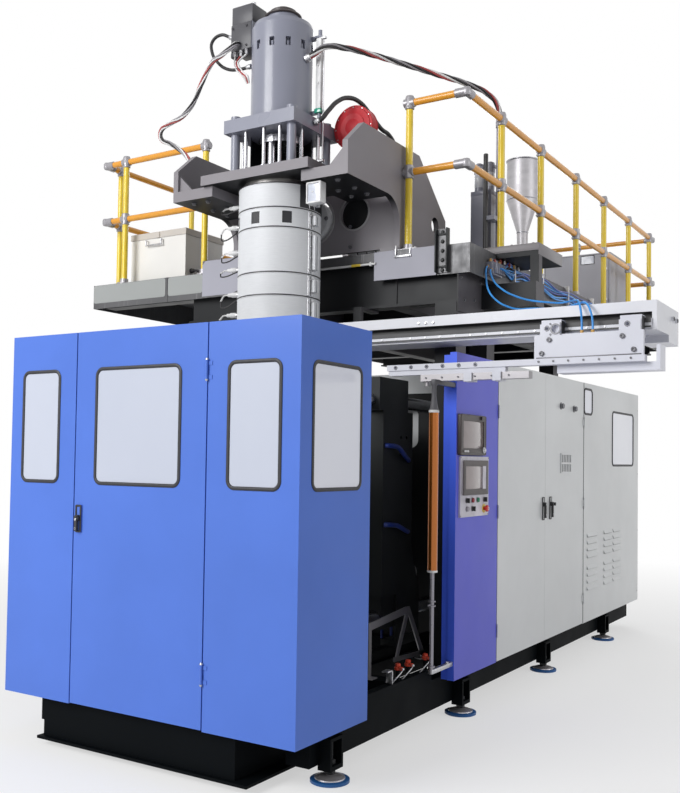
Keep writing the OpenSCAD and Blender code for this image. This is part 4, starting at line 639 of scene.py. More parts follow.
class Part:
    """Gathers shapes in one mesh; finish_parts() makes the piece."""

    waiting = []

    def __init__(self, name, look, body="root", slot=None, stands_for=(), sharp=35):
        self.name, self.look, self.body, self.slot = name, look, body, slot
        self.stands_for, self.sharp = stands_for, sharp
        self.bm = bmesh.new()
        Part.waiting.append(self)

    def verts(self, places):
        return [self.bm.verts.new(at(*p)) for p in places]

    def loops(self, rings, caps=True, closed=False):
        """Skin between rings of points, all of one length."""
        made = [self.verts(ring) for ring in rings]
        n = len(made[0])
        pairs = list(zip(made[:-1], made[1:]))
        if closed:
            pairs.append((made[-1], made[0]))
        for a, b in pairs:
            for i in range(n):
                j = (i + 1) % n
                self.bm.faces.new((a[i], a[j], b[j], b[i]))
        if caps and not closed:
            self.bm.faces.new(made[0][::-1])
            self.bm.faces.new(made[-1])

    def box(self, x, y, z, edge=0.0):
        """Box between limits; edge rounds it off."""
        r = min(edge, 0.45 * min(x[1] - x[0], y[1] - y[0], z[1] - z[0]))
        if r <= 0:
            self.loops([[(x[0], y[0], h), (x[1], y[0], h), (x[1], y[1], h), (x[0], y[1], h)]
                for h in z])
            return
        rings = []
        for inset, h in ((r, z[0]), (r * 0.3, z[0] + r * 0.3), (0, z[0] + r), (0, z[1] - r),
                (r * 0.3, z[1] - r * 0.3), (r, z[1])):
            flat = round_outline(x[0] + inset, x[1] - inset, y[0] + inset, y[1] - inset,
                r * 1.2 - inset * 0.6, 2)
            rings.append([(p[0], p[1], h) for p in flat])
        self.loops(rings)

    def prism(self, outline, axis, span):
        """Outline in the two other axes, pushed along an axis: 0 is x, 1 is y, 2 is z."""
        def place(p, h):
            return {0: (h, p[0], p[1]), 1: (p[0], h, p[1]), 2: (p[0], p[1], h)}[axis]
        self.loops([[place(p, h) for p in outline] for h in span])

    def turn(self, base, direction, profile, sides=32):
        """Turned shape: profile gives (radius, height along the direction)."""
        u, v, w = square_frame(direction)
        base = Vector(base)
        self.loops([hoop(base + w * h, u, v, max(r, LEAST_R), sides) for r, h in profile])

    def rod(self, a, b, r, sides=20, chamfer=0.0):
        a, b = Vector(a), Vector(b)
        span = (b - a).length
        c = min(chamfer, r * 0.5, span * 0.4)
        if c > 0:
            profile = [(r - c, 0), (r, c), (r, span - c), (r - c, span)]
        else:
            profile = [(r, 0), (r, span)]
        self.turn(a, b - a, profile, sides)

    def ring(self, centre, direction, outer, inner, thick, sides=32, edge=0.0):
        """Flat ring with a hole."""
        u, v, w = square_frame(direction)
        centre = Vector(centre)
        e = min(edge, (outer - inner) * 0.45, thick * 0.45)
        section = [(inner, 0), (inner, thick), (outer - e, thick), (outer, thick - e), (outer, e),
            (outer - e, 0)]
        self.loops([hoop(centre + w * h, u, v, r, sides) for r, h in section], closed=True)

    def bolt(self, place, direction, r, height=None, washer=True):
        """Hexagon head on a washer, standing on the surface at place."""
        w = Vector(direction).normalized()
        place = Vector(place)
        if washer:
            self.turn(place, w, [(r * 1.25, 0), (r * 1.25, r * 0.18), (r * 1.15, r * 0.22)], 16)
            place = place + w * r * 0.2
        h = height or r * 0.8
        self.turn(place, w, [(r, 0), (r, h * 0.8), (r * 0.82, h)], 6)

    def socket(self, place, direction, r):
        """Round cap screw with its socket."""
        self.turn(place, direction, [(r, 0), (r, r * 0.9), (r * 0.9, r), (r * 0.5, r),
            (r * 0.45, r * 0.45)], 14)

    def run(self, points, r, sides=8, steps=6, smooth=True):
        """Tube of radius r through the points."""
        points = [Vector(p) for p in points]
        line = []
        if smooth and len(points) > 2:
            ends = [2 * points[0] - points[1]] + points + [2 * points[-1] - points[-2]]
            for i in range(1, len(ends) - 2):
                p0, p1, p2, p3 = ends[i - 1:i + 3]
                for k in range(steps):
                    t = k / steps
                    line.append(0.5 * (2 * p1 + (p2 - p0) * t
                        + (2 * p0 - 5 * p1 + 4 * p2 - p3) * t * t
                        + (3 * p1 - p0 - 3 * p2 + p3) * t ** 3))
            line.append(points[-1])
        else:
            line = points
        side = square_frame(line[1] - line[0])[0]
        rings = []
        for i, p in enumerate(line):
            w = (line[min(i + 1, len(line) - 1)] - line[max(i - 1, 0)]).normalized()
            side = (side - side.dot(w) * w).normalized()
            rings.append(hoop(p, side, w.cross(side), r, sides))
        self.loops(rings)

    def frame_ring(self, plane, limits, profile, face, out):
        """Moulding round a rounded rectangle. profile: (inset, height) pairs, closed.
        plane 0 lies at x = face and 1 at y = face; out is the way that it stands."""
        a0, a1, b0, b1, r = limits
        rings = []
        for inset, height in profile:
            flat = round_outline(a0 + inset, a1 - inset, b0 + inset, b1 - inset,
                max(r - inset, 0.001), 8)
            h = face + out * height
            rings.append([(h, p[0], p[1]) if plane == 0 else (p[0], h, p[1]) for p in flat])
        self.loops(rings, closed=True)

    def sheet(self, plane, limits, span):
        a0, a1, b0, b1, r = limits
        self.prism(round_outline(a0, a1, b0, b1, r, 8), plane, span)

    def done(self):
        mesh = bpy.data.meshes.new(self.name)
        bmesh.ops.recalc_face_normals(self.bm, faces=self.bm.faces)
        self.bm.to_mesh(mesh)
        self.bm.free()
        mesh.polygons.foreach_set("use_smooth", [True] * len(mesh.polygons))
        mesh.set_sharp_from_angle(angle=math.radians(self.sharp))
        obj = bpy.data.objects.new(self.name, mesh)
        bpy.context.scene.collection.objects.link(obj)
        use(obj, self.look)
        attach(obj, self.body)
        if self.stands_for:
            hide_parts(*self.stands_for)


def finish_parts():
    for part in Part.waiting:
        part.done()
    Part.waiting.clear()


# Front guard: black rubber round each window, a pane in it, and the fittings
WINDOW_Z = (1.455, 2.075)
SEAL = ((-0.004, -0.002), (-0.004, 0.003), (0.001, 0.0058), (0.009, 0.006), (0.014, 0.003),
    (0.015, -0.002))
PANE_INSET = 0.013


def make_windows():
    z0, z1 = WINDOW_Z
    front = [(-1.9, -1.6), (-0.425, -0.107)]
    sides = [(0.103, 0.557, z0, z1, 0.045), (4.22, 4.45, 2.01, 2.23, 0.045),
        (5.05, 5.765, 1.578, 2.075, 0.045)]
    seal = Part("guard_window_seals", "seal_black", slot="black_plastic", sharp=50)
    glass = Part("guard_window_panes", "pane_painted_reflection", slot="glazing", stands_for=["window_panes"])
    dim = Part("side_window_panes", "pane_side_painted_reflection", slot="glazing")
    for a, b in front:
        seal.frame_ring(1, (a, b, z0, z1, 0.045), SEAL, 0.0, -1)
        glass.sheet(1, (a + PANE_INSET, b - PANE_INSET, z0 + PANE_INSET, z1 - PANE_INSET, 0.032),
            (0.0, 0.004))
    for y0, y1, b0, b1, r in sides:
        seal.frame_ring(0, (y0, y1, b0, b1, r), SEAL, 0.0, 1)
        dim.sheet(0, (y0 + PANE_INSET, y1 - PANE_INSET, b0 + PANE_INSET, b1 - PANE_INSET, 0.032),
            (-0.004, 0.0))
    seal.frame_ring(0, (0.103, 0.557, z0, z1, 0.045), SEAL, -GUARD_W, -1)
    dim.sheet(0, (0.103 + PANE_INSET, 0.557 - PANE_INSET, z0 + PANE_INSET, z1 - PANE_INSET, 0.032),
        (-GUARD_W, -GUARD_W + 0.004))
    door = (-1.323, -0.725, z0, z1, 0.045)
    seal = Part("door_window_seal", "seal_black", "front_door", "black_plastic", sharp=50)
    seal.frame_ring(1, door, SEAL, 0.0, -1)
    glass = Part("door_window_pane", "pane_painted_reflection", "front_door", "glazing",
        stands_for=["door_window"])
    glass.sheet(1, (door[0] + PANE_INSET, door[1] - PANE_INSET, z0 + PANE_INSET, z1 - PANE_INSET,
        0.032), (0.0, 0.004))


def make_guard_fittings():
    """Lever plate and its key, and the silver hinge pins."""
    plate = Part("door_lever_plate", "grip_black", "front_door", "black_plastic")
    plate.frame_ring(1, (-1.453, -1.407, 1.193, 1.341, 0.008),
        ((0, 0.006), (0, 0.0085), (0.002, 0.01), (0.01, 0.01), (0.012, 0.0065), (0.012, 0.006)),
        0.0, -1)
    key = Part("door_lever_key", "zinc", "door_lever", "bright_steel")
    key.turn((-1.43, -0.028, 1.262), TO_FRONT, stepped(0.007, 0.0025, 0.006, 0.003))
    key.ring((-1.43, -0.0281, 1.214), TO_FRONT, 0.0065, 0.0045, 0.0024, 16)
    pins = Part("guard_hinge_pins", "zinc", slot="bright_steel")
    for z in (0.547, 2.037):
        for end, way in ((0.0495, UP), (-0.0455, DOWN)):
            pins.turn((-0.555, -0.008, z + end), way, stepped(0.0085, 0.004, 0.005, 0.01))


# Railing: one yellow paint in two copies, a lit lemon copy on the posts and a shaded orange copy on
# the rails (painted light and shade), and grey cast fittings
RAIL_X, LEFT_RAIL_X, FRONT_RAIL_Y, REAR_RAIL_Y = -0.06, -3.273, 1.938, 6.72
RAIL_R = 0.024
RAIL_LEVELS = (DECK_Z + 0.53, DECK_Z + 0.996)


def rail_posts():
    posts = [(-0.472, FRONT_RAIL_Y, DECK_Z, 1.4), (RAIL_X, 2.527, DECK_Z + 0.05, 2.4)]
    posts += [(RAIL_X, REAR_RAIL_Y - back, DECK_Z, 2.4)
        for back in (0.126, 0.926, 1.755, 2.556, 3.406)]
    posts += [(LEFT_RAIL_X, FRONT_RAIL_Y + 0.162 + 0.9 * i, DECK_Z, 2.4) for i in range(6)]
    posts += [(x, FRONT_RAIL_Y, DECK_Z, 2.4) for x in (-3.055, -2.222)]
    posts += [(LEFT_RAIL_X + i * (RAIL_X - LEFT_RAIL_X) / 4, REAR_RAIL_Y, DECK_Z, 2.4)
        for i in (1, 2, 3)]
    return posts


def rail_clamp(part, x, y, z, along, last):
    """Cast cross fitting: a collar on the post and a sleeve on the rail."""
    r = RAIL_R
    part.turn((x, y, z - 0.046), UP, [(r + 0.002, 0), (r + 0.0075, 0.005),
        (r + 0.0075, 0.087 if not last else 0.075), (r + 0.002, 0.092), (r * 0.4, 0.0925)], 24)
    sleeve = Vector(TO_SIDE if along == 0 else TO_BACK)
    start = Vector((x, y, z)) - sleeve * 0.04
    part.turn(start, sleeve, [(r + 0.001, 0), (r + 0.0065, 0.004), (r + 0.0065, 0.076),
        (r + 0.001, 0.08)], 24)
    part.socket((x - (0 if along == 0 else r + 0.006), y - (0 if along else r + 0.006), z - 0.028),
        TO_FRONT if along == 0 else TO_LEFT, 0.0065)


def make_railing():
    posts = Part("railing_posts", "post_yellow_lit", slot="yellow_paint", stands_for=["railing"])
    rails = Part("railing_rails", "rail_yellow_shaded", slot="yellow_paint")
    joints = Part("railing_fittings", "fitting_grey", slot="cabinet_silver")
    feet = Part("railing_feet", "fitting_grey", slot="cabinet_silver")
    r = RAIL_R
    top = RAIL_LEVELS[1]
    for x, y, z0, flange in rail_posts():
        posts.rod((x, y, z0 + 0.006), (x, y, top), r, 28)
        feet.turn((x, y, z0), UP, [(r * flange, 0), (r * flange, 0.006),
            (r * flange - 0.002, 0.008), (r + 0.01, 0.008), (r + 0.0085, 0.043),
            (r + 0.001, 0.045)], 32)
        if flange > 2:
            for a, b in circle(x, y, 0.047, 4, 45):
                feet.bolt((a, b, z0 + 0.008), UP, 0.0075)
        along = 0 if y in (FRONT_RAIL_Y, REAR_RAIL_Y) else 1
        for i, z in enumerate(RAIL_LEVELS):
            rail_clamp(joints, x, y, z, along, i == 1)
    for z in RAIL_LEVELS:
        for a, b in (((-0.472, FRONT_RAIL_Y), (RAIL_X, FRONT_RAIL_Y)),
                ((RAIL_X, FRONT_RAIL_Y), (RAIL_X, REAR_RAIL_Y)),
                ((LEFT_RAIL_X, REAR_RAIL_Y), (RAIL_X, REAR_RAIL_Y)),
                ((LEFT_RAIL_X, FRONT_RAIL_Y), (LEFT_RAIL_X, REAR_RAIL_Y)),
                ((LEFT_RAIL_X, FRONT_RAIL_Y), (-2.222, FRONT_RAIL_Y))):
            rails.rod((a[0], a[1], z), (b[0], b[1], z), r, 24)
        for x, sx in ((LEFT_RAIL_X, 1), (RAIL_X, -1)):
            for y, sy in ((FRONT_RAIL_Y, 1), (REAR_RAIL_Y, -1)):
                joints.turn((x, y, z - r - 0.0062), UP,
                    [(0.012, 0), (r, 0.004), (r + 0.006, 0.016), (r + 0.006, 0.044), (r, 0.056),
                    (0.012, 0.0604)], 24)
                for d in ((sx, 0, 0), (0, sy, 0)):
                    joints.turn((x, y, z), d,
                        [(r + 0.006, 0), (r + 0.006, 0.075), (r + 0.001, 0.08)], 24)


# Head: heater band seams, clamps, plugs and leads; studs and rods above
BAND_R = 0.274
BAND_EDGES = (2.4, 2.652, 2.798, 3.088, 3.215, 3.372)
FLANGE_TOP, HEAD_TOP, MOUNT_Z = 3.403, 3.468, 3.74
SHOT_TOP = 4.505


def on_head(angle, radius, z):
    """Point round the head axis; the angle is from +x towards +y, in degrees."""
    return Vector((*polar(AXIS_X, PARTING_Y, radius, angle), z))


def make_heater_bands():
    seam = Part("heater_band_gap", "seal_black", slot="black_plastic")
    for low, high in zip(BAND_EDGES[:-1], BAND_EDGES[1:]):
        seam.run([on_head(-6, BAND_R - 0.0035, low + 0.002),
            on_head(-6, BAND_R - 0.0035, high - 0.008)], 0.0055, 8, smooth=False)
    seams = Part("heater_band_straps", "seam_dark", slot="stainless")
    rims = Part("heater_band_rims", "band_silver", slot="stainless")
    screws = Part("heater_band_screws", "zinc", slot="bright_steel")
    for low, high in zip(BAND_EDGES[:-1], BAND_EDGES[1:]):
        top = high - 0.006
        for z in (low, top - 0.007):
            rims.ring((AXIS_X, PARTING_Y, z), UP, BAND_R + 0.0022, BAND_R - 0.004, 0.007, 72, 0.002)
        seams.ring((AXIS_X, PARTING_Y, top - 0.001), UP, BAND_R + 0.0026, BAND_R - 0.02, 0.0074, 72)
    for angle in (-6, 174):
        for low, high in zip(BAND_EDGES[:-1], BAND_EDGES[1:]):
            for step in (-5.2, 5.2):
                centre = on_head(angle + step, BAND_R, low)
                screws.rod(centre + Vector((0, 0, 0.008)),
                    centre + Vector((0, 0, high - low - 0.014)), 0.0055, 10)
            count = max(2, int((high - low) / 0.06))
            for i in range(count):
                z = low + 0.03 + (high - low - 0.066) * i / max(count - 1, 1)
                for step in (-3.6, 3.6):
                    centre = on_head(angle + step, BAND_R + 0.001, z)
                    outward = on_head(angle + step, 1, z) - on_head(angle + step, 0, z)
                    screws.bolt(centre, outward, 0.0075)


def make_band_plugs():
    """White ceramic plugs on the left of the bands, each with a looped lead."""
    plugs = Part("heater_plugs", "plastic_white", slot="grey_plastic")
    clips = Part("heater_plug_clips", "zinc", slot="bright_steel")
    leads = Part("heater_leads", "cable_black", slot="cable_black")
    pale = Part("heater_lead_sleeves", "wire_white", slot="cable_black")
    angle = 196
    for i, z in enumerate((2.452, 2.56, 2.7, 2.865, 2.985, 3.15, 3.29)):
        out = on_head(angle, 1, z) - on_head(angle, 0, z)
        side = Vector(UP).cross(out)
        base = on_head(angle + (i % 2) * 3, BAND_R, z)
        clips.rod(base - out * 0.004, base + out * 0.022, 0.017, 16, 0.002)
        plugs.turn(base + out * 0.02, out, [(0.015, 0), (0.0175, 0.004), (0.0175, 0.04),
            (0.013, 0.046), (0.012, 0.066), (0.009, 0.07)], 20)
        tip = base + out * 0.088
        drop = 0.05 + 0.02 * (i % 3)
        pale.run([tip - out * 0.02, tip, tip + out * 0.03 + Vector((0, 0, -0.004)),
            tip + out * 0.045 + side * 0.02 + Vector((0, 0, -drop * 0.5))], 0.0055)
        leads.run([tip + out * 0.044 + side * 0.019 + Vector((0, 0, -drop * 0.47)),
            tip + out * 0.03 + side * 0.042 + Vector((0, 0, -drop)),
            tip - out * 0.02 + side * 0.05 + Vector((0, 0, -drop * 0.95)),
            base + side * 0.052 + out * 0.012 + Vector((0, 0, -drop * 0.55)),
            base + side * 0.048 - out * 0.004 + Vector((0, 0, -drop * 0.45))], 0.0045)


def make_head_rods():
    """Studs and slim rods under the cylinder, and the head plate's screws."""
    thin = Part("head_tie_rods", "chrome_rod", slot="bright_steel")
    nuts = Part("head_nuts", "dark_grey", slot="arm_grey")
    for x, y in ((-0.12, -0.23), (0.03, -0.236), (0.15, -0.228), (0.236, -0.11), (0.24, 0.08),
            (-0.236, -0.1), (-0.236, 0.1), (0.09, 0.232), (-0.1, 0.232)):
        p = Vector((AXIS_X + x, PARTING_Y + y, HEAD_TOP))
        thin.rod(p, p + Vector((0, 0, MOUNT_Z - HEAD_TOP)), 0.0125, 18)
        thin.rod(p, p + Vector((0, 0, 0.03)), 0.021, 18, 0.003)
    for x in (-0.39, 0.39):
        for y in (-0.27, 0.0, 0.27):
            nuts.socket((AXIS_X + x, PARTING_Y + y, HEAD_TOP - 0.019), UP, 0.018)


def make_head_gap_shade():
    """Dark open wall of thin sheet round the rear half between the head plate and the cylinder
    plate: painted shade in the gap behind the studs and the piston.
    """
    shade_wall = Part("head_gap_shade_wall", "clamp_black", slot="arm_grey")
    radius, sheet = 0.205, 0.004
    arc = [35 + 181 * i / 40 for i in range(41)]
    wall = [polar(AXIS_X, PARTING_Y, radius, a) for a in arc]
    wall += [polar(AXIS_X, PARTING_Y, radius - sheet, a) for a in reversed(arc)]
    shade_wall.prism(wall, 2, (HEAD_TOP, MOUNT_Z))


def make_cylinder_cap():
    cap = Part("cylinder_top_ring", "bezel_dark", slot="black_plastic")
    cap.turn((AXIS_X, PARTING_Y, SHOT_TOP + 0.0648), UP,
        [(0.088, 0), (0.09, 0.004), (0.09, 0.026), (0.082, 0.032), (0.06, 0.034), (0.056, 0.046),
        (0.04, 0.052)], 48)
    cap.ring((AXIS_X, PARTING_Y, SHOT_TOP + 0.049), UP, 0.124, 0.094, 0.014, 48, 0.004)
    for x, y in circle(AXIS_X, PARTING_Y, 0.132, 8, 10):
        cap.bolt((x, y, SHOT_TOP - 0.0005), UP, 0.012)


def make_valve_block():
    """Servo valve on the cylinder's left side, its fittings and wires."""
    block = Part("servo_valve_block", "block_dark", slot="black_plastic")
    x0 = AXIS_X - 0.2
    block.box((x0 - 0.176, x0 - 0.004), (1.414, 1.586), (4.376, 4.56), 0.004)
    block.box((x0 - 0.173, x0 + 0.003), (1.417, 1.583), (4.558, 4.684), 0.006)
    block.box((x0 - 0.186, x0 - 0.12), (1.424, 1.48), (4.34, 4.38), 0.006)
    for y in (1.434, 1.566):
        for z in (4.4, 4.536):
            block.socket((x0 - 0.176, y, z), TO_LEFT, 0.008)
            block.socket((x0 - 0.012 - (y - 1.4) * 0.9, 1.414, z), TO_FRONT, 0.008)
    fittings = Part("valve_fittings", "zinc", slot="bright_steel")
    for dx, z in ((-0.15, 4.392), (-0.1, 4.386), (-0.052, 4.392)):
        fittings.turn((x0 + dx, 1.43, z), DOWN,
            [(0.016, 0), (0.016, 0.02), (0.012, 0.024), (0.012, 0.044), (0.009, 0.048)], 6)
    for dx in (-0.12, -0.05):
        fittings.turn((x0 + dx, 1.5, 4.683), UP,
            [(0.024, 0), (0.024, 0.02), (0.016, 0.024), (0.016, 0.044)], 18)
    wires = Part("valve_wires", "wire_white", slot="cable_black")
    reds = Part("valve_wires_red", "wire_red", slot="cable_black")
    for k, part in enumerate((wires, reds, wires)):
        s = 0.018 * k
        part.run([(x0 - 0.15 + 0.049 * k, 1.43, 4.346), (x0 - 0.146 + s, 1.418, 4.3),
            (x0 - 0.12 + s, 1.398, 4.25), (x0 - 0.075 + s, 1.38, 4.2), (x0 - 0.03 + s, 1.372, 4.16),
            (x0 - 0.012 + s * 0.4, 1.392, 4.12)], 0.0055)


def make_scale():
    """Linear scale beside the cylinder: slim white case, green foot, thin rods."""
    case = Part("stroke_scale", "plastic_white", slot="grey_plastic")
    foot = Part("stroke_scale_foot", "scale_green", slot="green_plastic")
    rods = Part("stroke_scale_rods", "zinc", slot="bright_steel")
    x, y = AXIS_X + 0.26, PARTING_Y + 0.06
    case.box((x - 0.02, x + 0.02), (y - 0.02, y + 0.02), (3.905, 4.385), 0.004)
    for z in (4.08, 4.2, 4.32):
        case.turn((x, y - 0.0195, z), TO_FRONT, stepped(0.007, 0.006, 0.005, 0.008))
    foot.box((x - 0.026, x + 0.026), (y - 0.026, y + 0.026), (3.882, 3.912), 0.004)
    rods.rod((x + 0.03, y, 3.54), (x + 0.03, y, 4.39), 0.0045, 12)
    rods.rod((x - 0.008, y, 3.5), (x - 0.008, y, 3.89), 0.006, 12)
    rods.box((x - 0.04, x + 0.045), (y - 0.012, y + 0.012), (4.378, 4.392), 0.002)
    rods.box((x - 0.06, x + 0.04), (y - 0.014, y + 0.014), (3.556, 3.572), 0.002)


def make_head_side():
    """White terminal box under the flange, the dark windows on the bands, and a dark strip on the
    top band that is painted shade.
    """
    box = Part("terminal_box", "plastic_white", slot="grey_plastic")
    lid = Part("terminal_box_lid", "pane_painted_reflection", slot="glazing")
    x, y, z = -0.772, 1.255, 3.258
    box.frame_ring(1, (x - 0.055, x + 0.055, z - 0.068, z + 0.068, 0.008),
        ((0, 0), (0, 0.012), (0.004, 0.016), (0.01, 0.016), (0.014, 0.01), (0.014, 0.0)), y, -1)
    box.box((x - 0.054, x + 0.054), (y, y + 0.05), (z - 0.067, z + 0.067), 0.004)
    box.rod((x, y + 0.03, z + 0.066), (x, y + 0.03, FLANGE_TOP - 0.069), 0.008, 12)
    lid.sheet(1, (x - 0.043, x + 0.043, z - 0.056, z + 0.056, 0.004), (y - 0.009, y - 0.002))
    box.turn((x - 0.008, y - 0.009, z + 0.004), TO_FRONT, [(0.006, 0), (0.005, 0.003)], 16)
    dark = Part("band_windows", "seal_black", slot="black_plastic")
    for angle in (45, 135, 180, 225, 270, 315):
        side = on_head(angle + 90, 1, 0) - on_head(angle + 90, 0, 0)
        dark.loops([[on_head(angle, r, h) + side * w for w,
            h in ((-0.0314, 3.1106), (0.0314, 3.1106), (0.0314, 3.1862), (-0.0314, 3.1862))]
            for r in (0.256, 0.2675)])
    # dark strip round part of the top band: painted shade
    arc = [-27 + 66 * i / 24 for i in range(25)]
    dark.loops([[on_head(a, r, h) for r, h in ((BAND_R - 0.002, 3.219), (BAND_R + 0.0028, 3.219),
        (BAND_R + 0.0028, 3.365), (BAND_R - 0.002, 3.365))] for a in arc])


def make_blower():
    """Round fan beside the right arm: its front, two rings and the screws between them."""
    red = Part("blower_scroll", "blower_red", slot="red_plastic")
    grille = Part("blower_grille", "zinc", slot="bright_steel")
    x, y, z = -0.775, 1.75, 3.807
    for a, b in circle(x, z, 0.136, 12):
        grille.bolt((a, y - 0.036, b), TO_FRONT, 0.005, washer=False)
    red.turn((x, y - 0.034, z), TO_FRONT, [(0.132, 0), (0.128, 0.008), (0.06, 0.014), (0.05, 0.02),
        (0.0, 0.021)], 48)
    red.ring((x, y - 0.04, z), TO_BACK, 0.147, 0.138, 0.008, 48, 0.002)
    red.ring((x, y + 0.032, z), TO_BACK, 0.147, 0.138, 0.008, 48, 0.002)


# Operator side: amber guide tube, controls, cabinets
def make_guide_tube():
    x, y = -0.02, 1.43
    amber = Part("guide_tube", "amber", slot="amber_paint", stands_for=["light_curtain"])
    amber.turn((x, y, 0.962), UP, [(0.0275, 0), (0.0295, 0.002), (0.0295, 0.926), (0.0275, 0.928)],
        40)
    ends = Part("guide_tube_ends", "plastic_white", slot="grey_plastic")
    ends.turn((x, y, 0.948), UP, [(0.012, 0), (0.02, 0.002), (0.031, 0.006), (0.031, 0.016),
        (0.026, 0.02)], 32)
    ends.turn((x, y, 1.886), UP, [(0.026, 0), (0.031, 0.003), (0.031, 0.014), (0.028, 0.018)], 32)
    boot = Part("guide_tube_boot", "boot_grey", slot="grey_plastic")
    boot.turn((x, y, 1.903), UP, [(0.026, 0), (0.027, 0.006), (0.019, 0.04), (0.014, 0.085),
        (0.013, 0.14), (0.019, 0.15), (0.019, 0.157)], 28)
    boot.box((x - 0.015, x + 0.015), (y - 0.015, 1.7), (2.056, 2.086), 0.003)
    rod = Part("guide_rod", "pole_grey", slot="bright_steel")
    rod.rod((x, y, 0.388), (x, y, 0.95), 0.0125, 24)
    for z in (0.4, 0.752, 0.778):
        rod.turn((x, y, z), UP, [(0.0135, 0), (0.022, 0.002), (0.022, 0.009), (0.0135, 0.011)], 24)
    rod.rod((x, y - 0.05, 0.765), (x, y + 0.02, 0.765), 0.004, 10)
    foot = Part("guide_rod_foot", "zinc", slot="bright_steel")
    foot.box((x - 0.014, x + 0.014), (y - 0.014, 1.7), (0.362, 0.388), 0.003)
    foot.bolt((x, y + 0.215, 0.388), UP, 0.009)


def make_screens():
    """Screens, their bezels, and the upper unit's keys and latch."""
    dark = Part("hmi_bezel", "bezel_dark", slot="black_plastic")
    dark.frame_ring(0, (1.76, 2.145, 1.395, 1.61, 0.008),
        ((-0.001, -0.003), (-0.001, 0.0005), (0.001, 0.0015), (0.034, 0.0015), (0.0365, -0.003)),
        0.024, 1)
    screens = Part("hmi_screen", "screen_brown", slot="black_plastic")
    screens.box((0.02, 0.0212), (1.797, 2.058), (1.427, 1.583), 0.0004)
    screens.box((0.02, 0.0212), (1.754, 2.066), (1.686, 1.856), 0.0004)
    rim = Part("controller_bezel", "bezel_dark", slot="black_plastic")
    rim.frame_ring(0, (1.716, 2.104, 1.642, 1.897, 0.01),
        ((0, 0.0), (0, 0.022), (0.004, 0.0275), (0.008, 0.0275), (0.008, 0.0262), (0.004, 0.0)),
        0.0, 1)
    rim.box((0.0255, 0.0285), (1.742, 2.078), (1.658, 1.676), 0.001)
    keys = Part("controller_keys", "zinc", slot="bright_steel")
    for y in (1.762, 1.786, 1.81):
        keys.box((0.026, 0.0315), (y, y + 0.016), (1.66, 1.673), 0.0015)
    keys.turn((0.026, 2.06, 1.676), TO_SIDE, [(0.02, 0), (0.02, 0.006), (0.017, 0.01),
        (0.012, 0.01), (0.01, 0.016), (0.006, 0.017)], 24)


def make_button_details():
    """Rings round the buttons, panel screws, selector marks, caps and the stop's collar."""
    rings = Part("button_rings", "ring_grey", slot="cabinet_silver")
    for y, z in ((1.92, 1.361), (2.0, 1.361), (1.84, 1.308), (1.832, 1.361), (2.104, 1.361),
            (1.92, 1.308)):
        rings.ring((0.012, y, z), TO_SIDE, 0.0175, 0.0153, 0.0045, 28, 0.001)
    for y in (1.75, 2.172):
        for z in (1.266, 1.627):
            rings.turn((0.012, y, z), TO_SIDE, stepped(0.005, 0.0015, 0.003, 0.003), 14)
    collar = Part("stop_collar", "stop_yellow", slot="yellow_paint")
    collar.ring((0.012, 2.105, 1.304), TO_SIDE, 0.029, 0.0145, 0.003, 36, 0.001)
    for body, y, z in (("mode_selector", 1.832, 1.361), ("heater_selector", 2.104, 1.361),
            ("speed_selector", 1.92, 1.308)):
        mark = Part(body + "_mark", "plastic_white", body, "grey_plastic")
        mark.box((0.024, 0.0245), (y - 0.0018, y + 0.0018), (z + 0.002, z + 0.014), 0.0002)
    for colour, y in (("red", 1.92), ("green", 2.0)):
        body = colour + "_button"
        inner = Part(body + "_cap", "button_" + colour, body, colour + "_plastic")
        inner.turn((0.025, y, 1.361), TO_SIDE, stepped(0.0125, 0.001, 0.01, 0.0022), 24)
    inner = Part("stop_ring", "plastic_white", "emergency_stop", "grey_plastic")
    inner.ring((0.0455, 2.105, 1.304), TO_SIDE, 0.01, 0.0075, 0.0012, 24)


def make_cabinet_details():
    """Door gap, a dark sheet behind the grille as painted shade, knobs, and the levers' keys,
    plates and rivets.
    """
    gap = Part("cabinet_gap_strip", "seal_black", "cabinet_door_front", "black_plastic")
    gap.box((-0.02, -0.0015), (3.2905, 3.2935), (0.28, 2.27), 0.0)
    # dark sheet behind the louvres: painted shade inside the cabinet
    back = Part("grille_shade_backing", "seal_black", "cabinet_door_rear", "black_plastic")
    back.box((-0.012, -0.0032), (3.64, 3.886), (1.526, 1.673), 0.001)
    knobs = Part("cabinet_knobs", "knob_grey", "cabinet_door_rear", "black_plastic")
    for y, z in ((3.638, 2.047), (3.958, 2.04)):
        knobs.turn((0.0, y, z), TO_SIDE, [(0.028, 0), (0.028, 0.003), (0.014, 0.005),
            (0.014, 0.009), (0.021, 0.012), (0.0212, 0.022), (0.017, 0.0262), (0.008, 0.027)], 32)
    for body, y in (("cabinet_lever_front", 3.243), ("cabinet_lever_rear", 3.4)):
        key = Part(body + "_key", "zinc", body, "bright_steel")
        key.ring((0.028, y, 1.212), TO_SIDE, 0.0085, 0.005, 0.003, 20)
        key.turn((0.0275, y, 1.29), TO_SIDE, stepped(0.0075, 0.003, 0.005, 0.004), 20)
    for body, y in (("cabinet_door_front", 3.243), ("cabinet_door_rear", 3.4)):
        plate = Part(body + "_lever_plate", "grip_black", body, "black_plastic")
        plate.frame_ring(0, (y - 0.021, y + 0.021, 1.173, 1.345, 0.006),
            ((0, 0.002), (0, 0.0072), (0.002, 0.0085), (0.008, 0.0085), (0.009, 0.006),
            (0.009, 0.002)), 0.0, 1)
    dots = Part("lever_plate_rivets", "zinc", "cabinet_door_rear", "bright_steel")
    for z in (1.181, 1.337):
        dots.turn((0.0084, 3.4, z), TO_SIDE, stepped(0.0035, 0.001, 0.002, 0.002), 12)


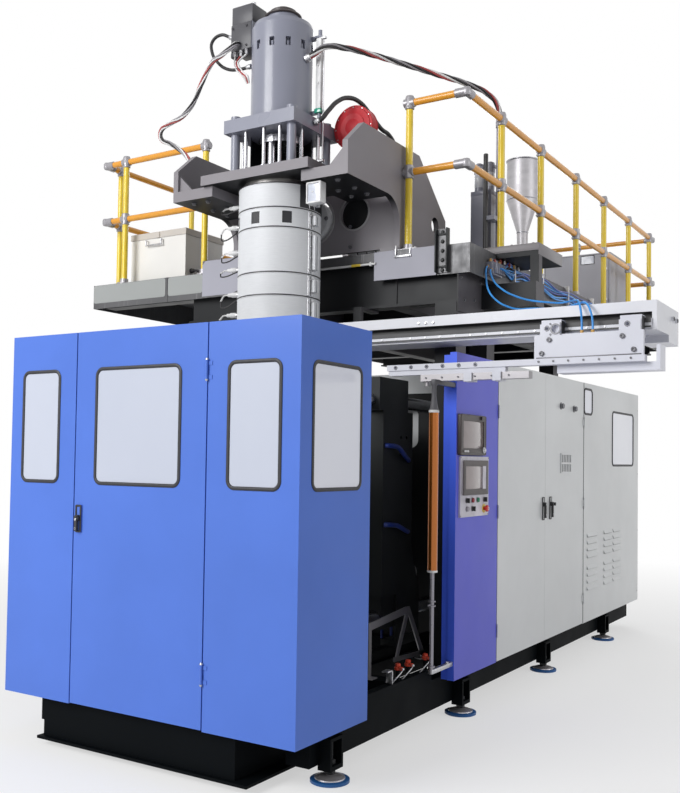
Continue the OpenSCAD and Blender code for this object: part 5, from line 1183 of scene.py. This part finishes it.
def make_hood_details():
    """Corner bead and cover screws of the cabinet's hood."""
    bead = Part("hood_corner_bead", "seal_black", slot="black_plastic")
    bead.box((-0.0005, 0.0025), (4.2145, 4.2185), (0.276, 2.272), 0.0)
    screws = Part("hood_screws", "zinc", slot="bright_steel")
    spots = [((0.0, 5.925, z), TO_SIDE) for z in (0.36, 0.95, 1.5, 2.12)]
    spots += [((x, y, GUARD_TOP), UP) for y in (3.05, 3.9, 4.8, 5.8)
        for x in (-2.3, -1.7, -1.1, -0.5)]
    spots += [((x, 5.95, z), TO_BACK) for x in (-2.2, -1.4, -0.7, -0.2) for z in (0.36, 1.2, 2.12)]
    for place, way in spots:
        screws.turn(place, way, stepped(0.007, 0.002, 0.004, 0.004), 12)


# Base, clamp and what is seen through the operator's opening
def make_feet():
    pads = Part("foot_pads", "pad_blue", slot="blue_steel", stands_for=["levelling_feet"])
    cups = Part("foot_cups", "foot_silver", slot="bright_steel")
    nuts = Part("foot_nuts", "clamp_black", slot="black_paint")
    front_left = AXIS_X - 0.61
    spots = [(-0.09, y) for y in (0.445, 2.0, 3.524, 5.093)]
    spots += [(front_left, 0.445)] + [(-2.322, y) for y in (2.0, 3.524, 5.093)]
    for x, y in spots:
        pads.turn((x, y, 0), UP, [(0.094, 0), (0.1, 0.003), (0.1, 0.017), (0.096, 0.0195),
            (0.07, 0.0205)], 48)
        cups.turn((x, y, 0.0195), UP, [(0.078, 0), (0.076, 0.006), (0.052, 0.015), (0.044, 0.016),
            (0.026, 0.02)], 40)
        nuts.rod((x, y, 0.03), (x, y, 0.201), 0.015, 20, 0.002)
        for z in (0.042, 0.088):
            nuts.turn((x, y, z), UP, [(0.024, 0), (0.027, 0.003), (0.027, 0.021), (0.024, 0.024)],
                6)


def make_lubrication():
    """Three red grease fittings on the base rail, their pipes and a small bracket."""
    caps = Part("lube_fittings", "lube_red", slot="red_plastic")
    pipes = Part("lube_pipes", "zinc", slot="bright_steel")
    x = -0.145
    for y in (1.253, 1.378, 1.602):
        caps.turn((x, y, 0.401), UP, [(0.017, 0), (0.021, 0.003), (0.021, 0.016), (0.016, 0.02),
            (0.016, 0.034), (0.011, 0.038)], 24)
        caps.rod((x, y, 0.415), (x + 0.04, y - 0.02, 0.415), 0.01, 14, 0.002)
        pipes.rod((x + 0.036, y - 0.018, 0.415), (x + 0.05, y - 0.025, 0.415), 0.006, 12)
        pipes.run([(x + 0.048, y - 0.024, 0.415), (x + 0.052, y - 0.06, 0.4),
            (x + 0.035, y - 0.09, 0.37), (x + 0.012, y - 0.095, 0.341)], 0.003)
    pipes.box((x - 0.02, x + 0.02), (1.15, 1.16), (0.34, 0.42), 0.001)
    pipes.box((x - 0.02, x + 0.02), (1.1, 1.158), (0.412, 0.42), 0.001)


def make_clamp_details():
    """Gland and platen screws, the floor bracket, platen hoses and hydraulic pipes."""
    screws = Part("clamp_screws", "zinc", slot="bright_steel")
    z0 = 1.29
    for y, d in ((0.57, 1), (2.43, -1)):
        for a, b in circle(AXIS_X, z0, 0.118, 8, 22):
            screws.socket((a, y, b), (0, d, 0), 0.007)
    for body, y, d in (("front_platen", 1.126, 1), ("rear_platen", 1.874, -1)):
        pads = Part(body + "_screws", "zinc", body, "bright_steel")
        for x in (-0.46, 0.46):
            for z in (0.5, 0.72, 1.98, 2.06):
                pads.socket((AXIS_X + x * 0.96, y, z), (0, d, 0), 0.01)
    bracket = Part("floor_bracket", "fitting_grey", slot="bright_steel")
    across = (-0.456, -0.447)
    for outline in ([(1.44, 0.56), (1.44, 0.606), (1.93, 0.65), (1.95, 0.606)],
            [(1.93, 0.648), (1.972, 0.648), (2.225, 0.273), (2.165, 0.273)],
            [(1.926, 0.612), (1.962, 0.596), (1.83, 0.345), (1.79, 0.345)],
            [(1.77, 0.346), (1.77, 0.318), (2.2, 0.3), (2.19, 0.33)],
            [(1.44, 0.273), (1.44, 0.562), (1.475, 0.562), (1.475, 0.273)]):
        bracket.prism(outline, 0, across)
    bracket.box((-0.5, -0.41), (1.425, 1.49), (0.2722, 0.28), 0.002)
    bracket.box((-0.5, -0.41), (2.15, 2.24), (0.2722, 0.28), 0.002)
    stubs = Part("platen_hoses", "hose_navy", "rear_platen", "hose_blue")
    for z, drop in ((1.7, -0.095), (1.176, -0.06)):
        stubs.run([(-0.612, 1.905, z), (-0.59, 1.925, z), (-0.572, 2.02, z - 0.01),
            (-0.572, 2.12, z + drop * 0.7), (-0.59, 2.205, z + drop), (-0.612, 2.225, z + drop)],
            0.016, 12)
    pipe = Part("clamp_pipes", "hose_navy", slot="hose_blue")
    for pair, bend, low in (((0.33, 0.42), 0.01, 0.273), ((2.58, 2.67), -0.01, 0.29)):
        for k, y in enumerate(pair):
            x, y1 = AXIS_X + 0.1 + 0.03 * k, y + bend
            pipe.run([(x, y, z0 - 0.1), (x + 0.02, y, z0 - 0.22), (x + 0.1, y1, z0 - 0.5),
                (x + 0.12, y1, 0.6), (x + 0.12, y1, low)], 0.011, 10)


# Take-out beam and carriage
BEAM_FRONT = 1.6


def make_beam_details():
    """End bolts, the recess along the beam lined dark as painted shade, and the screws on its
    front.
    """
    bolts = Part("beam_bolts", "clamp_black", slot="black_plastic")
    for y in (1.95, 2.04):
        bolts.turn((1.227, y, 2.43), TO_SIDE, [(0.014, -0.013), (0.014, 0.0), (0.01, 0.003)], 6)
    # dark lining of the beam's recess, painted shade, and two thin dark lines in front of it
    trim = Part("beam_recess_shade", "seam_dark", slot="arm_grey")
    run, face = (-0.812, 1.189), BEAM_FRONT
    trim.box(run, (face + 0.058, face + 0.0598), (2.3906, 2.4274))
    trim.box(run, (face - 0.015, face + 0.058), (2.3906, 2.3916))
    trim.box(run, (face + 0.001, face + 0.058), (2.4264, 2.4274))
    trim.box(run, (face - 0.0172, face - 0.0158), (2.3665, 2.3904))
    trim.box(run, (face - 0.0172, face - 0.0158), (2.3402, 2.35))
    screws = Part("beam_screws", "zinc", slot="bright_steel")
    for i in range(20):
        screws.socket((-0.76 + 0.1 * i, BEAM_FRONT - 0.0155, 2.3582), TO_FRONT, 0.0055)
    for x in (-0.215, -0.165, -0.115):
        screws.bolt((x, 1.6, 2.45), TO_FRONT, 0.008)


def make_carriage_details():
    """Bolts and rings on the carriage, the arm's slots, and the wipers."""
    plate = Part("carriage_bolts", "knob_grey", "takeout_carriage", "bright_steel")
    y = 1.5
    for x, z in ((0.612, 2.215), (0.655, 2.29), (1.12, 2.215), (1.06, 2.29)):
        plate.turn((x, y, z), TO_FRONT, [(0.014, 0), (0.014, 0.01), (0.01, 0.013), (0.007, 0.013),
            (0.006, 0.006)], 20)
    for a, b in circle(0.69, 2.35, 0.042, 4, 45):
        plate.socket((a, y, b), TO_FRONT, 0.0055)
    plate.ring((0.69, y, 2.35), TO_FRONT, 0.031, 0.0225, 0.004, 32, 0.001)
    for x in (0.64, 1.085):
        plate.ring((x, y, 2.355), TO_FRONT, 0.016, 0.0102, 0.003, 24, 0.001)
    for i in range(6):
        plate.ring((-0.307 + 0.105 * i, y - 0.02, 2.168), TO_FRONT, 0.0125, 0.0081, 0.0025, 20,
            0.0008)
    for i in range(7):
        plate.socket((0.6 + 0.085 * i, y - 0.02, 2.168), TO_FRONT, 0.006)
    plate.box((0.58, 1.16), (y - 0.003, y + 0.0005), (2.187, 2.1935), 0.001)
    slots = Part("takeout_arm_slots", "knob_grey", "takeout_arm", "bright_steel")
    for i in range(6):
        slots.socket((-0.1 + 0.105 * i, 1.48, 2.1), TO_FRONT, 0.0055)
    wipers = Part("carriage_wipers", "seal_black", "takeout_carriage", "black_plastic")
    for x in (0.5985, 0.7135, 1.0385, 1.1535):
        wipers.box((x, x + 0.003), (1.526, 1.582), (2.291, 2.399), 0.0008)


# Platform edge, outrigger, air fittings and the hoses under the deck
def make_fascia_details():
    """Light fascia, post saddle, dark bolted channel, brace strip and the outrigger's pad."""
    light = Part("fascia_plate", "fascia_light", slot="deck_grey")
    low = DECK_Z - 0.19
    light.prism([(-0.69, low), (-0.231, low), (-0.231, DECK_Z + 0.001), (-0.42, DECK_Z + 0.001),
        (-0.42, DECK_Z - 0.045), (-0.52, DECK_Z - 0.045), (-0.52, DECK_Z + 0.001),
        (-0.69, DECK_Z + 0.001)], 1, (1.8675, 1.8702))
    saddle = Part("post_saddle", "zinc", slot="bright_steel")
    saddle.box((-0.535, -0.409), (1.858, 1.869), (DECK_Z - 0.052, DECK_Z - 0.036), 0.002)
    for x in (-0.53, -0.424):
        saddle.box((x, x + 0.01), (1.858, 1.869), (DECK_Z - 0.052, DECK_Z + 0.03), 0.002)
    saddle.box((-0.56, -0.384), (1.87, 2.01), (DECK_Z, DECK_Z + 0.006), 0.002)
    for x in (-0.548, -0.396):
        for y in (1.89, 1.985):
            saddle.bolt((x, y, DECK_Z + 0.006), UP, 0.009)
    dark = Part("fascia_channel", "cast_dark", slot="black_paint")
    for x in (-0.2295, -0.15):
        dark.box((x, x + 0.0095), (1.836, 1.8665), (DECK_Z - 0.18, DECK_Z + 0.103), 0.002)
    for z in (-0.165, -0.1, -0.04, 0.02, 0.08):
        dark.bolt((-0.185, 1.866, DECK_Z + z), TO_FRONT, 0.011)
    for z in (-0.15, 0.06):
        dark.box((-0.222, -0.148), (1.858, 1.867), (DECK_Z + z, DECK_Z + z + 0.014), 0.002)
    strip = Part("brace_strip", "seal_black", slot="black_plastic")
    strip.prism([(2.05, 2.99), (2.068, 2.99), (2.358, 2.806), (2.35, 2.794)], 0, (-0.0895, -0.078))
    nuts = Part("brace_bolts", "knob_grey", slot="bright_steel")
    for y, z in ((1.92, 2.9), (1.92, 2.78), (1.975, 2.64), (2.13, 2.66), (2.23, 2.79),
            (2.11, 2.905)):
        nuts.bolt((-0.08, y, z), TO_SIDE, 0.01)
    pad = Part("outrigger_edge", "pad_grey", slot="arm_grey")
    pad.box((-0.331, 0.3005), (2.2985, 2.7615), (3.0335, 3.0412), 0.003)
    pad.box((0.296, 0.3012), (2.2985, 2.7615), (2.962, 3.036), 0.002)
    pad.box((-0.331, 0.3005), (2.296, 2.3002), (2.992, 3.036), 0.002)
    bolts = Part("outrigger_bolts", "knob_grey", slot="bright_steel")
    for x in (-0.28, -0.18, 0.1, 0.25):
        for y in (2.33, 2.73):
            bolts.bolt((x, y, 3.0412), UP, 0.009)


def make_air_fittings():
    """Pole, regulator bowls, the valve manifold and its coloured push-in fittings."""
    poles = Part("service_poles", "pole_grey", slot="arm_grey")
    poles.rod((-0.127, 2.65, 3.042), (-0.127, 2.65, 4.018), 0.0215, 28, 0.002)
    poles.turn((-0.127, 2.65, 3.0412), UP, [(0.05, 0), (0.05, 0.008), (0.028, 0.01), (0.026, 0.05),
        (0.022, 0.052)], 28)
    poles.turn((-0.127, 2.65, 3.975), UP, [(0.022, 0), (0.027, 0.002), (0.027, 0.045),
        (0.023, 0.0485)], 28)
    dark = Part("service_pole_dark", "grip_black", slot="black_plastic")
    dark.rod((-0.19, 2.56, 3.0405), (-0.19, 2.56, 3.774), 0.0165, 20, 0.004)
    bowls = Part("filter_bowls", "bowl_clear", slot="glazing")
    for x in (-0.29, -0.205):
        bowls.turn((x, 2.675, 3.56), UP, [(0.026, 0), (0.0335, 0.012), (0.0335, 0.11),
            (0.0325, 0.112)], 28)
    heads = Part("filter_heads", "head_grey", slot="arm_grey")
    for x in (-0.29, -0.205):
        heads.turn((x, 2.675, 3.67), UP, [(0.036, 0), (0.036, 0.04), (0.03, 0.046), (0.022, 0.048),
            (0.022, 0.074), (0.018, 0.078)], 24)
        heads.box((x - 0.04, x + 0.04), (2.65, 2.7), (3.7, 3.724), 0.004)
    heads.box((-0.326, -0.166), (2.608, 2.7415), (3.5, 3.532), 0.003)
    manifold = Part("valve_manifold", "head_grey", slot="arm_grey")
    manifold.box((-0.004, 0.048), (2.14, 2.3), (2.826, 2.912), 0.003)
    for i in range(5):
        y = 2.152 + i * 0.03
        manifold.box((0.046, 0.072), (y, y + 0.022), (2.834, 2.904), 0.003)
    colours = (("air_fittings_amber", "fit_amber"), ("air_fittings_red", "fit_red"),
        ("air_fittings_silver", "zinc"))
    for k, (name, look) in enumerate(colours):
        part = Part(name, look, slot=("amber_paint", "red_plastic", "bright_steel")[k])
        for i in range(12):
            if i % 3 != k:
                continue
            y = 2.16 + 0.042 * i
            z = 2.926 if i < 4 else 2.93
            part.turn((0.02 + 0.012 * (i % 2), y, z - 0.018 if y < 2.3 else z), UP,
                [(0.01, 0), (0.01, 0.014), (0.0075, 0.016), (0.0075, 0.026)], 16)
            if y > 2.3:
                part.rod((0.002, y, z + 0.01), (0.03, y, z + 0.01), 0.006, 12)


def make_hose_bundle():
    """Blue air hoses strapped along the deck edge, in front of the dark girders."""
    blue = Part("edge_hoses", "hose_blue", slot="hose_blue")
    dark = Part("edge_hoses_dark", "hose_navy", slot="hose_blue")
    clips = Part("edge_hose_clips", "zinc", slot="bright_steel")
    base = [(2.33, 2.89), (2.42, 2.915), (2.56, 2.905), (2.72, 2.92), (2.9, 2.905), (3.12, 2.925),
        (3.4, 2.905), (3.7, 2.925), (4.0, 2.905), (4.35, 2.925), (4.7, 2.91)]
    for k in range(6):
        part = (blue, blue, dark, blue, blue, dark)[k]
        phase = 1.3 * k
        pts = []
        for i, (y, z) in enumerate(base):
            sway = 0.012 * math.sin(1.7 * i + phase)
            pts.append((0.014 + 0.006 * (k % 3) + 0.006 * math.cos(i + phase), y + 0.01 * k,
                z - 0.04 + 0.014 * k + sway))
        part.run(pts, 0.0058, 8, 5)
    for y in (2.56, 3.12, 3.7, 4.35):
        clips.box((0.0, 0.036), (y, y + 0.014), (2.845, 3.0), 0.001)
    for k, y in enumerate((2.2, 2.24, 2.28)):
        blue.run([(0.062, y, 2.868), (0.085, y + 0.01, 2.868), (0.098, y + 0.05, 2.85),
            (0.09, y + 0.12, 2.862), (0.05, y + 0.2, 2.88), (0.02, y + 0.28, 2.89 - 0.01 * k)],
            0.0055, 8, 5)


# Arms, deck, extruder and what stands at the rear
def make_arm_details():
    bolts = Part("arm_bolts", "knob_grey", slot="arm_grey")
    for s in (-1, 1):
        inner = AXIS_X + s * 0.655
        for y in (1.96, 2.24, 2.54):
            bolts.bolt((inner - s * 0.07, y, DECK_Z + 0.03), UP, 0.02)
        for y in (1.3, 1.5, 1.66):
            bolts.bolt((inner - s * 0.08, y, FLANGE_TOP), UP, 0.016)
            for dx in (0.08, 0.2):
                bolts.bolt((inner - s * dx, y, FLANGE_TOP - 0.07), DOWN, 0.015)
    for x in (-0.3, 0.3):
        for z in (3.06, 3.2, 3.44):
            bolts.socket((AXIS_X + x, 1.915, z), TO_FRONT, 0.012)
    # black discs set back in the bracket's two holes: painted shade in the holes
    hole_shade = Part("bracket_hole_shade", "clamp_black", slot="arm_grey")
    for s in (-1, 1):
        hole_shade.rod((AXIS_X + s * 0.33, 1.9402, 3.29), (AXIS_X + s * 0.33, 1.945, 3.29), 0.124, 48,
            0.001)
    rim = Part("bracket_ring", "edge_light", slot="arm_grey")
    for s in (-1, 1):
        rim.ring((AXIS_X + s * 0.33, 1.9148, 3.29), TO_FRONT, 0.122, 0.11, 0.006, 48, 0.002)
    rim.ring((AXIS_X, 1.9148, 3.27), TO_FRONT, 0.172, 0.155, 0.006, 48, 0.002)


def make_deck_details():
    """Edge trim, front panels, corner plate, screws and seams of the deck."""
    trim = Part("deck_edge_trim", "deck_edge", slot="deck_grey")
    trim.box((-3.334, 0.0012), (6.7735, 6.7812), (DECK_Z - 0.012, DECK_Z + 0.0015), 0.002)
    trim.box((-0.006, 0.0012), (2.765, 6.78), (DECK_Z - 0.012, DECK_Z + 0.0015), 0.002)
    trim.box((-3.3342, -3.327), (1.878, 6.78), (DECK_Z - 0.012, DECK_Z + 0.0015), 0.002)
    panels = Part("deck_front_panels", "fascia_pale", slot="deck_grey")
    for x0, x1 in ((-3.33, -2.556), (-2.528, -2.184)):
        panels.frame_ring(1, (x0, x1, 2.843, 2.988, 0.02),
            ((0, 0), (0, 0.001), (0.003, 0.0022), (0.01, 0.0022), (0.01, 0)), 1.8778, -1)
        panels.sheet(1, (x0 + 0.009, x1 - 0.009, 2.852, 2.979, 0.012), (1.876, 1.8778))
    corner = Part("deck_corner_plate", "fascia_light", slot="deck_grey")
    corner.prism([(-2.178, 2.812), (-1.902, 2.812), (-1.723, 2.872), (-1.723, 2.989),
        (-1.792, 3.077), (-2.15, 3.077), (-2.178, 3.05)], 1, (1.8685, 1.8699))
    screws = Part("deck_screws", "zinc", slot="bright_steel")
    for x in (-3.2, -2.5, -1.95, -0.45, -0.14):
        for i in range(9):
            y = 2.0 + 0.57 * i
            if (x < -2.4 and 2.0 < y < 2.6 and x > -3.1) or (x > -0.4 and y < 2.8):
                continue
            if x > -0.9 and y > 5.5 and x < -0.17:
                continue
            screws.turn((x, y, DECK_Z), UP, stepped(0.01, 0.001, 0.006, 0.0028), 12)
    seams = Part("deck_seams", "seal_black", slot="black_paint")
    for y in (3.1, 4.4, 5.65):
        seams.box((-3.32, -1.6), (y, y + 0.004), (DECK_Z - 0.002, DECK_Z + 0.0006), 0.0)
        seams.box((-0.82, -0.01), (y, y + 0.004), (DECK_Z - 0.002, DECK_Z + 0.0006), 0.0)


def make_junction_box():
    handle = Part("junction_handle", "zinc", "junction_lid", "bright_steel")
    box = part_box("junction_lid")
    y = box[0][1] + ORIGIN.y
    for x in (-2.905, -2.745):
        handle.rod((x, y + 0.001, 3.345), (x, y - 0.014, 3.345), 0.006, 12)
        handle.rod((x, y - 0.012, 3.348), (x, y - 0.012, 3.306), 0.006, 12)
    handle.rod((-2.911, y - 0.012, 3.306), (-2.739, y - 0.012, 3.306), 0.006, 12)
    glands = Part("junction_glands", "grip_black", slot="black_plastic")
    wires = Part("junction_cables", "cable_black", slot="cable_black")
    for k, y in enumerate((2.12, 2.21, 2.3, 2.39)):
        glands.turn((-2.508, y, 3.08), TO_SIDE,
            [(0.02, 0), (0.02, 0.01), (0.016, 0.012), (0.016, 0.028), (0.01, 0.034)], 16)
        wires.run([(-2.476, y, 3.08), (-2.44, y + 0.004, 3.078), (-2.4, y + 0.02, 3.052),
            (-2.37, y + 0.07, 3.012), (-2.36, y + 0.14, 3.001), (-2.36, 2.62 + 0.02 * k, 3.001),
            (-2.35 + 0.022 * k, 2.8, 3.001), (-2.3 + 0.024 * k, 3.4, 3.001),
            (-2.3 + 0.024 * k, 5.9, 3.001)], 0.0095, 8, 4)


def make_barrel_bands():
    """Band heaters on the barrel with clamps, plugs and leads, and their cable tray."""
    z, r = 3.27, 0.11
    bands = Part("barrel_bands", "band_silver", slot="stainless")
    straps = Part("barrel_straps", "zinc", slot="bright_steel")
    plugs = Part("barrel_plugs", "plastic_white", slot="grey_plastic")
    leads = Part("barrel_leads", "cable_black", slot="cable_black")
    for i in range(6):
        y = 2.06 + 0.56 * i
        for k in range(3):
            a = y + 0.006 + 0.137 * k
            bands.turn((AXIS_X, a, z), TO_BACK,
                [(0.118, 0), (r + 0.0255, 0.003), (r + 0.0255, 0.129), (0.118, 0.132)], 48)
            for q in (0.022, 0.11):
                straps.box((AXIS_X - 0.02, AXIS_X + 0.02), (a + q - 0.006, a + q + 0.006),
                    (z + r + 0.02, z + r + 0.034), 0.002)
                straps.rod((AXIS_X - 0.03, a + q, z + r + 0.03),
                    (AXIS_X + 0.03, a + q, z + r + 0.03), 0.004, 10)
            p = Vector((AXIS_X + 0.122, a + 0.066, z + 0.062))
            plugs.turn(p - Vector((0.012, 0, 0.006)), (1, 0, 0.5),
                [(0.014, 0), (0.014, 0.034), (0.011, 0.04), (0.009, 0.056)], 16)
            leads.run([p + Vector((0.036, 0, 0.018)), p + Vector((0.062, 0.01, 0.006)),
                p + Vector((0.072, 0.03, -0.07)), p + Vector((0.07, 0.05, -0.18)),
                p + Vector((0.066, 0.08, -0.3)), p + Vector((0.066, 0.14, -0.331))], 0.0055, 7, 4)
    trunk = Part("barrel_cable_tray", "zinc", slot="bright_steel")
    trunk.box((AXIS_X + 0.15, AXIS_X + 0.26), (2.06, 5.4), (DECK_Z, DECK_Z + 0.052), 0.003)


def make_drive_details():
    """Drive and barrel screws, and the motor's terminal box and fan cover."""
    screws = Part("drive_screws", "knob_grey", slot="bright_steel")
    for x in (-0.23, 0.23):
        for zz in (3.05, 3.32, 3.56):
            screws.bolt((AXIS_X + x, 6.12, zz), TO_FRONT, 0.013)
        for y in (6.17, 6.36, 6.55):
            screws.bolt((AXIS_X + x, y, 3.6), UP, 0.013)
            screws.bolt((AXIS_X + x * 1.19, y, DECK_Z + 0.035), UP, 0.012)
    for a, b in circle(AXIS_X, 3.27, 0.128, 6):
        screws.bolt((a, 1.8705, b), TO_FRONT, 0.012)
    for x in (-1.86, -1.5, -1.1):
        for zz in (3.1, 3.58):
            screws.turn((x, 6.68, zz), TO_BACK, stepped(0.009, 0.003, 0.006, 0.006), 12)
    box = Part("motor_terminal_box", "motor_blue", slot="blue_steel")
    box.box((-1.8, -1.64), (5.98, 6.14), (3.48, 3.56), 0.008)
    fan = Part("motor_fan_cover", "grip_black", slot="black_plastic")
    for rr in (0.04, 0.07, 0.1, 0.13):
        fan.ring((-1.72, 5.7205, 3.35), TO_FRONT, rr + 0.004, rr - 0.004, 0.005, 40, 0.001)


def make_hopper_details():
    """Polished hopper with its beads and lid handle, and the shut-off slide under it."""
    y, r = 5.92, 0.1685
    shell = Part("hopper_shell", "stainless", slot="stainless", stands_for=["hopper"])
    outline = [(0.054, 3.55), (0.058, 4.03), (r, 4.37), (r, 4.785), (r + 0.008, 4.785),
        (r + 0.008, 4.797), (r - 0.01, 4.805), (0.0002, 4.805), (0.0002, 4.802), (r - 0.013, 4.802),
        (r - 0.003, 4.793), (r - 0.003, 4.371), (0.055, 4.031), (0.051, 3.55)]
    shell.loops([[(a, b, h) for a, b in circle(AXIS_X, y, rr, 96)] for rr, h in outline],
        closed=True)
    shell.turn((AXIS_X, y, 3.49), UP, [(0.13, 0), (0.13, 0.018), (0.128, 0.02), (0.075, 0.02),
        (0.075, 0.06)], 48)
    rim = Part("hopper_rim", "chrome_rod", slot="stainless")
    rim.ring((AXIS_X, y, 4.782), UP, r + 0.0115, r - 0.004, 0.012, 64, 0.005)
    rim.ring((AXIS_X, y, 4.366), UP, r + 0.005, r - 0.004, 0.01, 64, 0.004)
    rim.ring((AXIS_X, y, 4.024), UP, 0.066, 0.054, 0.01, 48, 0.004)
    rim.run([(AXIS_X - 0.05, y - 0.02, 4.8045), (AXIS_X - 0.045, y - 0.02, 4.8005),
        (AXIS_X + 0.045, y - 0.02, 4.8005), (AXIS_X + 0.05, y - 0.02, 4.8045)], 0.004)
    slide = Part("hopper_slide", "zinc", slot="bright_steel")
    slide.box((AXIS_X - 0.11, AXIS_X + 0.11), (y - 0.11, y + 0.11), (3.511, 3.523), 0.002)
    slide.box((AXIS_X + 0.1, AXIS_X + 0.2), (y - 0.03, y + 0.03), (3.513, 3.521), 0.002)
    slide.turn((AXIS_X + 0.19, y, 3.521), UP,
        [(0.012, 0), (0.012, 0.02), (0.016, 0.03), (0.01, 0.04)], 18)
    for a, b in circle(AXIS_X, y, 0.115, 6, 30):
        slide.bolt((a, b, 3.5095), UP, 0.009)


def make_drive_cabinet():
    glass = Part("drive_cabinet_window", "pane_smoke", slot="black_plastic")
    glass.sheet(1, (-0.468, -0.342, 3.562, 3.638, 0.004), (5.601, 5.6035))
    rim = Part("drive_cabinet_trim", "seal_black", slot="black_plastic")
    rim.frame_ring(1, (-0.474, -0.336, 3.556, 3.644, 0.006),
        ((0, -0.001), (0, 0.003), (0.006, 0.003), (0.007, -0.001)), 5.6, -1)
    rim.frame_ring(1, (-0.836, -0.194, 3.072, 3.65, 0.004),
        ((0, -0.001), (0, 0.0008), (0.003, 0.0008), (0.003, -0.001)), 5.6, -1)
    lock = Part("drive_cabinet_locks", "zinc", slot="bright_steel")
    for z in (3.2, 3.5):
        lock.turn((-0.222, 5.6, z), TO_FRONT, stepped(0.013, 0.005, 0.009, 0.008), 20)
    conduit = Part("drive_conduits", "cable_black", slot="cable_black")
    for k in range(3):
        conduit.run([(-0.845, 5.75 + 0.06 * k, 3.15), (-0.885, 5.75 + 0.06 * k, 3.12),
            (-0.905, 5.76 + 0.06 * k, 3.05), (-0.925, 5.8 + 0.06 * k, 3.004),
            (-0.95, 5.85 + 0.06 * k, 3.004), (-0.952, 6.2 + 0.02 * k, 3.004)], 0.012, 10, 4)


def make_conduits():
    """Pale conduit with two yellow bands, and dark pipes under the deck."""
    pale = Part("rear_conduit", "wire_white", slot="grey_plastic")
    gold = Part("rear_conduit_bands", "stop_yellow", slot="yellow_paint")
    pale.rod((-1.72, 1.862, 2.915), (-0.675, 1.862, 2.915), 0.008, 12)
    for x in (-1.32, -0.86):
        gold.rod((x, 1.862, 2.915), (x + 0.07, 1.862, 2.915), 0.0092, 12)
    for x in (-1.6, -0.72):
        pale.box((x, x + 0.012), (1.855, 1.8795), (2.902, 2.928), 0.001)
    pipes = Part("deck_underside_pipes", "hose_navy", slot="black_paint")
    for x in (-0.92, -0.86, -0.8):
        pipes.run([(x, 2.1, 2.942), (x, 3.2, 2.942), (x, 4.4, 2.942), (x, 5.6, 2.942)], 0.016, 10,
            1)
        for y in (2.6, 4.6):
            pipes.box((x - 0.018, x + 0.018), (y, y + 0.02), (2.94, 2.984), 0.001)


def make_deck_grommet():
    collar = Part("deck_grommet", "seal_black", slot="black_plastic")
    collar.ring((-0.76, 2.43, DECK_Z - 0.003), UP, 0.04, 0.0165, 0.011, 32, 0.004)


def make_hose_ends():
    """Swivel fittings where the free hoses start and end."""
    metal = Part("hose_end_fittings", "zinc", slot="bright_steel")
    for place, way, r in (((-1.606, 1.449, 4.497), (-0.9, 0, 0.35), 0.018),
            ((-1.414, 1.4, 4.235), TO_LEFT, 0.017), ((-0.9, 1.474, 3.797), (0.9, 0.1, 0.35), 0.021),
            ((-0.985, 1.4805, 4.2365), (0.9, 0.1, 0.35), 0.028)):
        w = Vector(way).normalized()
        p = Vector(place)
        metal.turn(p - w * 0.02, w, [(r, 0), (r, 0.018), (r * 0.86, 0.02), (r * 0.86, 0.034),
            (r * 0.8, 0.036)], 16)
    small = Part("air_hose_elbows", "fit_amber", slot="amber_paint")
    for x, y, z in ((0.01, 2.147, 2.885), (0.036, 2.147, 2.86)):
        small.turn((x, y + 0.006, z), (0, -1, -0.3), stepped(0.01, 0.016, 0.0075, 0.018), 14)
    tops = Part("air_hose_tops", "fit_amber", "takeout_carriage", "amber_paint")
    for x, y in ((0.895, 1.5125), (0.835, 1.5125)):
        tops.turn((x, y, 2.319), UP, stepped(0.01, 0.014, 0.0075, 0.017), 14)


for make in (make_windows, make_guard_fittings, make_railing, make_heater_bands, make_band_plugs,
        make_head_gap_shade, make_head_rods, make_cylinder_cap, make_valve_block, make_scale,
        make_head_side, make_blower, make_guide_tube, make_screens, make_button_details,
        make_cabinet_details, make_hood_details, make_feet, make_lubrication, make_clamp_details,
        make_beam_details, make_carriage_details, make_fascia_details, make_air_fittings,
        make_hose_bundle, make_arm_details, make_deck_details, make_junction_box, make_barrel_bands,
        make_drive_details, make_hopper_details, make_drive_cabinet, make_conduits,
        make_deck_grommet, make_hose_ends):
    make()
    finish_parts()


# Floor and soft studio light
def make_stage():
    bpy.ops.mesh.primitive_plane_add(size=120, location=(0, 0, 0))
    floor = bpy.context.object
    floor.name = "floor"
    use(floor, "floor_pale")


def area_light(name, place, target, size, power, tint=(1, 1, 1)):
    data = bpy.data.lights.new(name, "AREA")
    data.size = size
    data.energy = power
    data.color = tint
    lamp = bpy.data.objects.new(name, data)
    lamp.location = place
    lamp.rotation_euler = (Vector(target) - Vector(place)).to_track_quat("-Z", "Y").to_euler()
    bpy.context.scene.collection.objects.link(lamp)


AMBIENT = 0.3


def make_light():
    centre = at(-1.0, 3.0, 1.6)
    area_light("key", at(-4.0, -8.0, 6.0), centre, 5.0, 860)
    area_light("side", at(9.0, 4.5, 5.0), centre, 5.0, 210)
    area_light("back", at(-5.0, 13.0, 7.0), centre, 6.0, 300)
    world = bpy.data.worlds.new("studio")
    bpy.context.scene.world = world
    world.use_nodes = True
    nodes, links = world.node_tree.nodes, world.node_tree.links
    bright = nodes.new("ShaderNodeMapRange")
    bright.inputs["To Min"].default_value = AMBIENT
    bright.inputs["To Max"].default_value = 1.0
    links.new(seen_ray(nodes, links), bright.inputs["Value"])
    background = nodes["Background"]
    background.inputs["Color"].default_value = (1, 1, 1, 1)
    links.new(bright.outputs["Result"], background.inputs["Strength"])


make_stage()
make_light()
bpy.context.scene.view_settings.view_transform = "Standard"
